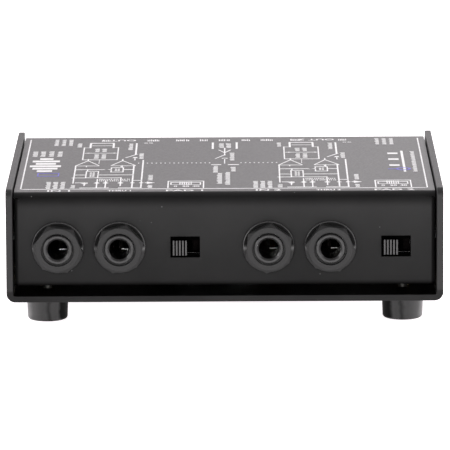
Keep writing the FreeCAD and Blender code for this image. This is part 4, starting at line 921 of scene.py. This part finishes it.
def draw_ground_lift(ink):
    """Long output lines, the ground lift switch's symbol and the link between them."""
    ink.line((23.6, 8.2), (23.6, 50.4), 0.5)
    ink.line((26.5, 8.2), (26.5, 60.4), 0.5)
    ink.line((23.8, 71.4), (23.8, 93.4), 0.6)
    ink.line((20.6, 65.2), (24.2, 71.8), 0.5)
    ink.line((23.7, 60.4), (23.7, 63.6), 0.4)
    ink.arrow((23.7, 66.4), (0, 1), 1.8)
    ink.bar(23.1, 65.4, 24.4, 66.4)
    ink.line((23.6, 22.0), (26.5, 22.0))
    for left, right in ((22.9, 24.3), (25.8, 27.2), (27.6, 28.6)):
        ink.bar(left, 17.0, right, 18.0)
    ink.patch([(28.3, 15.4), (30.9, 17.5), (28.3, 19.6)])
    ink.marks((21.1, 80.5), 12.5, 1.5)
    ink.marks((24.9, 63.0), 10.5, 1.6)
    ink.marks((28.5, 22.0), 10.0, 1.6)
    ink.marks((28.5, 7.9), 5.6, 1.6)
    ink.marks((4.0, 86.0), 8.0, 1.5)
    for across in (26.9, 28.5):
        ink.ring((across, 94.0), 0.5, 0.4, 10)


def draw_corner_notes(ink, across):
    """Three lines of small print beside a connector, at the rear edge."""
    for step in range(3):
        ink.marks((across + 2.4 * step, 89.2), 12.4, 1.4)


def print_channel(number, origin_across):
    """The block diagram of one channel, in front of and behind its own jacks."""
    ink = Print("print_channel_%d" % number, origin_across)
    draw_amplifiers(ink)
    draw_blocks(ink)
    draw_output(ink, number)
    draw_inputs(ink, number)
    draw_ground_lift(ink)
    draw_pad_symbol(ink, number)
    ink.finish()


def print_power():
    """The battery and remote power symbols in the middle, and the dotted ground line."""
    ink = Print("print_power")
    for across in (-4.0, 4.0):
        ink.line((across, 82.0), (across, 94.3), 0.7)
    for across in (-2.0, 0.4):
        ink.marks((across, 84.0), 8.6, 1.7)
    ink.line((0.0, 69.0), (0.0, 83.2))
    ink.path([(-1.9, 79.4), (0.0, 74.2), (1.9, 79.4)], 0.45)
    ink.line((-3.0, 62.8), (0.1, 70.2), 0.45)
    ink.ring((0.0, 63.2), 0.8, 0.4, 16)
    ink.line((0.0, 53.2), (0.0, 61.4), 0.35)
    ink.marks((1.6, 59.0), 15.0, 1.6)
    for left, right in ((-4.4, -1.1), (1.1, 4.7)):
        ink.bar(left, 50.3, right, 51.5)
    ink.marks((-3.8, 36.2), 12.6, 1.6)
    ink.marks((1.9, 38.0), 8.8, 1.7)
    ink.marks((-2.5, 15.2), 19.6, 1.7)
    ink.marks((0.1, 13.2), 23.4, 1.7)
    for first, count in ((-28.5, 17), (5.2, 9)):
        for step in range(count):
            across = first + 1.46 * step
            ink.bar(across, 54.0, across + 0.42, 55.1)
    ink.finish()


def print_rear_labels():
    """Short rows of small print along the rear edge, over what is on the rear panel."""
    ink = Print("print_rear_labels")
    rows = ((-41.4, 2.8), (-26.0, 3.9), (-16.4, 4.4), (-8.4, 2.6), (-2.0, 3.9), (5.7, 2.8), (12.1, 4.3),
            (22.1, 3.3), (38.2, 2.7))
    for across, reach in rows:
        ink.marks((across, 97.4), reach, 3.4, upwards=False)
    ink.finish()


def print_marks():
    """Plain generic marks where the maker's two marks would be."""
    ink = Print("print_marks")
    for step, reach in enumerate((5.0, 8.2, 10.2, 6.6, 9.0, 4.4)):
        near = 38.6 + 4.6 * step
        ink.bar(-58.8 - reach / 2, near, -58.8 + reach / 2, near + 3.3)
    for across in (-63.8, -61.2, -58.4, -55.6):
        ink.marks((across, 67.8), 10.5, 1.7)
    ink.line((58.8, 36.0), (58.8, 76.0), 0.8)
    for near in (47.0, 58.6, 70.0):
        ink.bar(54.0, near, 57.4, near + 2.8)
    ink.marks((61.5, 36.0), 39.5, 1.4)
    draw_corner_notes(ink, -57.2)
    draw_corner_notes(ink, 50.4)
    ink.finish()


def print_accents():
    """Blue parts of the two marks."""
    ink = Print("print_accents", slot="accent_ink")
    left, right, near, far = -60.7, -54.0, 30.6, 36.0
    ink.path([(left, near), (right, near), (right, far), (left, far), (left, near)])
    ink.ring((58.4, 41.5), 2.1, 0.8, 24)
    ink.line((53.6, 41.5), (56.2, 41.5))
    ink.finish()


def make_print():
    """All of the print, in a fixed order so that the small print stays the same."""
    random.seed(7)
    jack_low, jack_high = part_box("jack_housing_input_1")
    origin = (jack_low.x + jack_high.x) / 2
    print_border()
    print_channel(1, origin)
    print_channel(2, origin + PRINT_PITCH * MM)
    print_power()
    print_rear_labels()
    print_marks()
    print_accents()


make_camera()
make_studio()
dress_frame()
make_print()
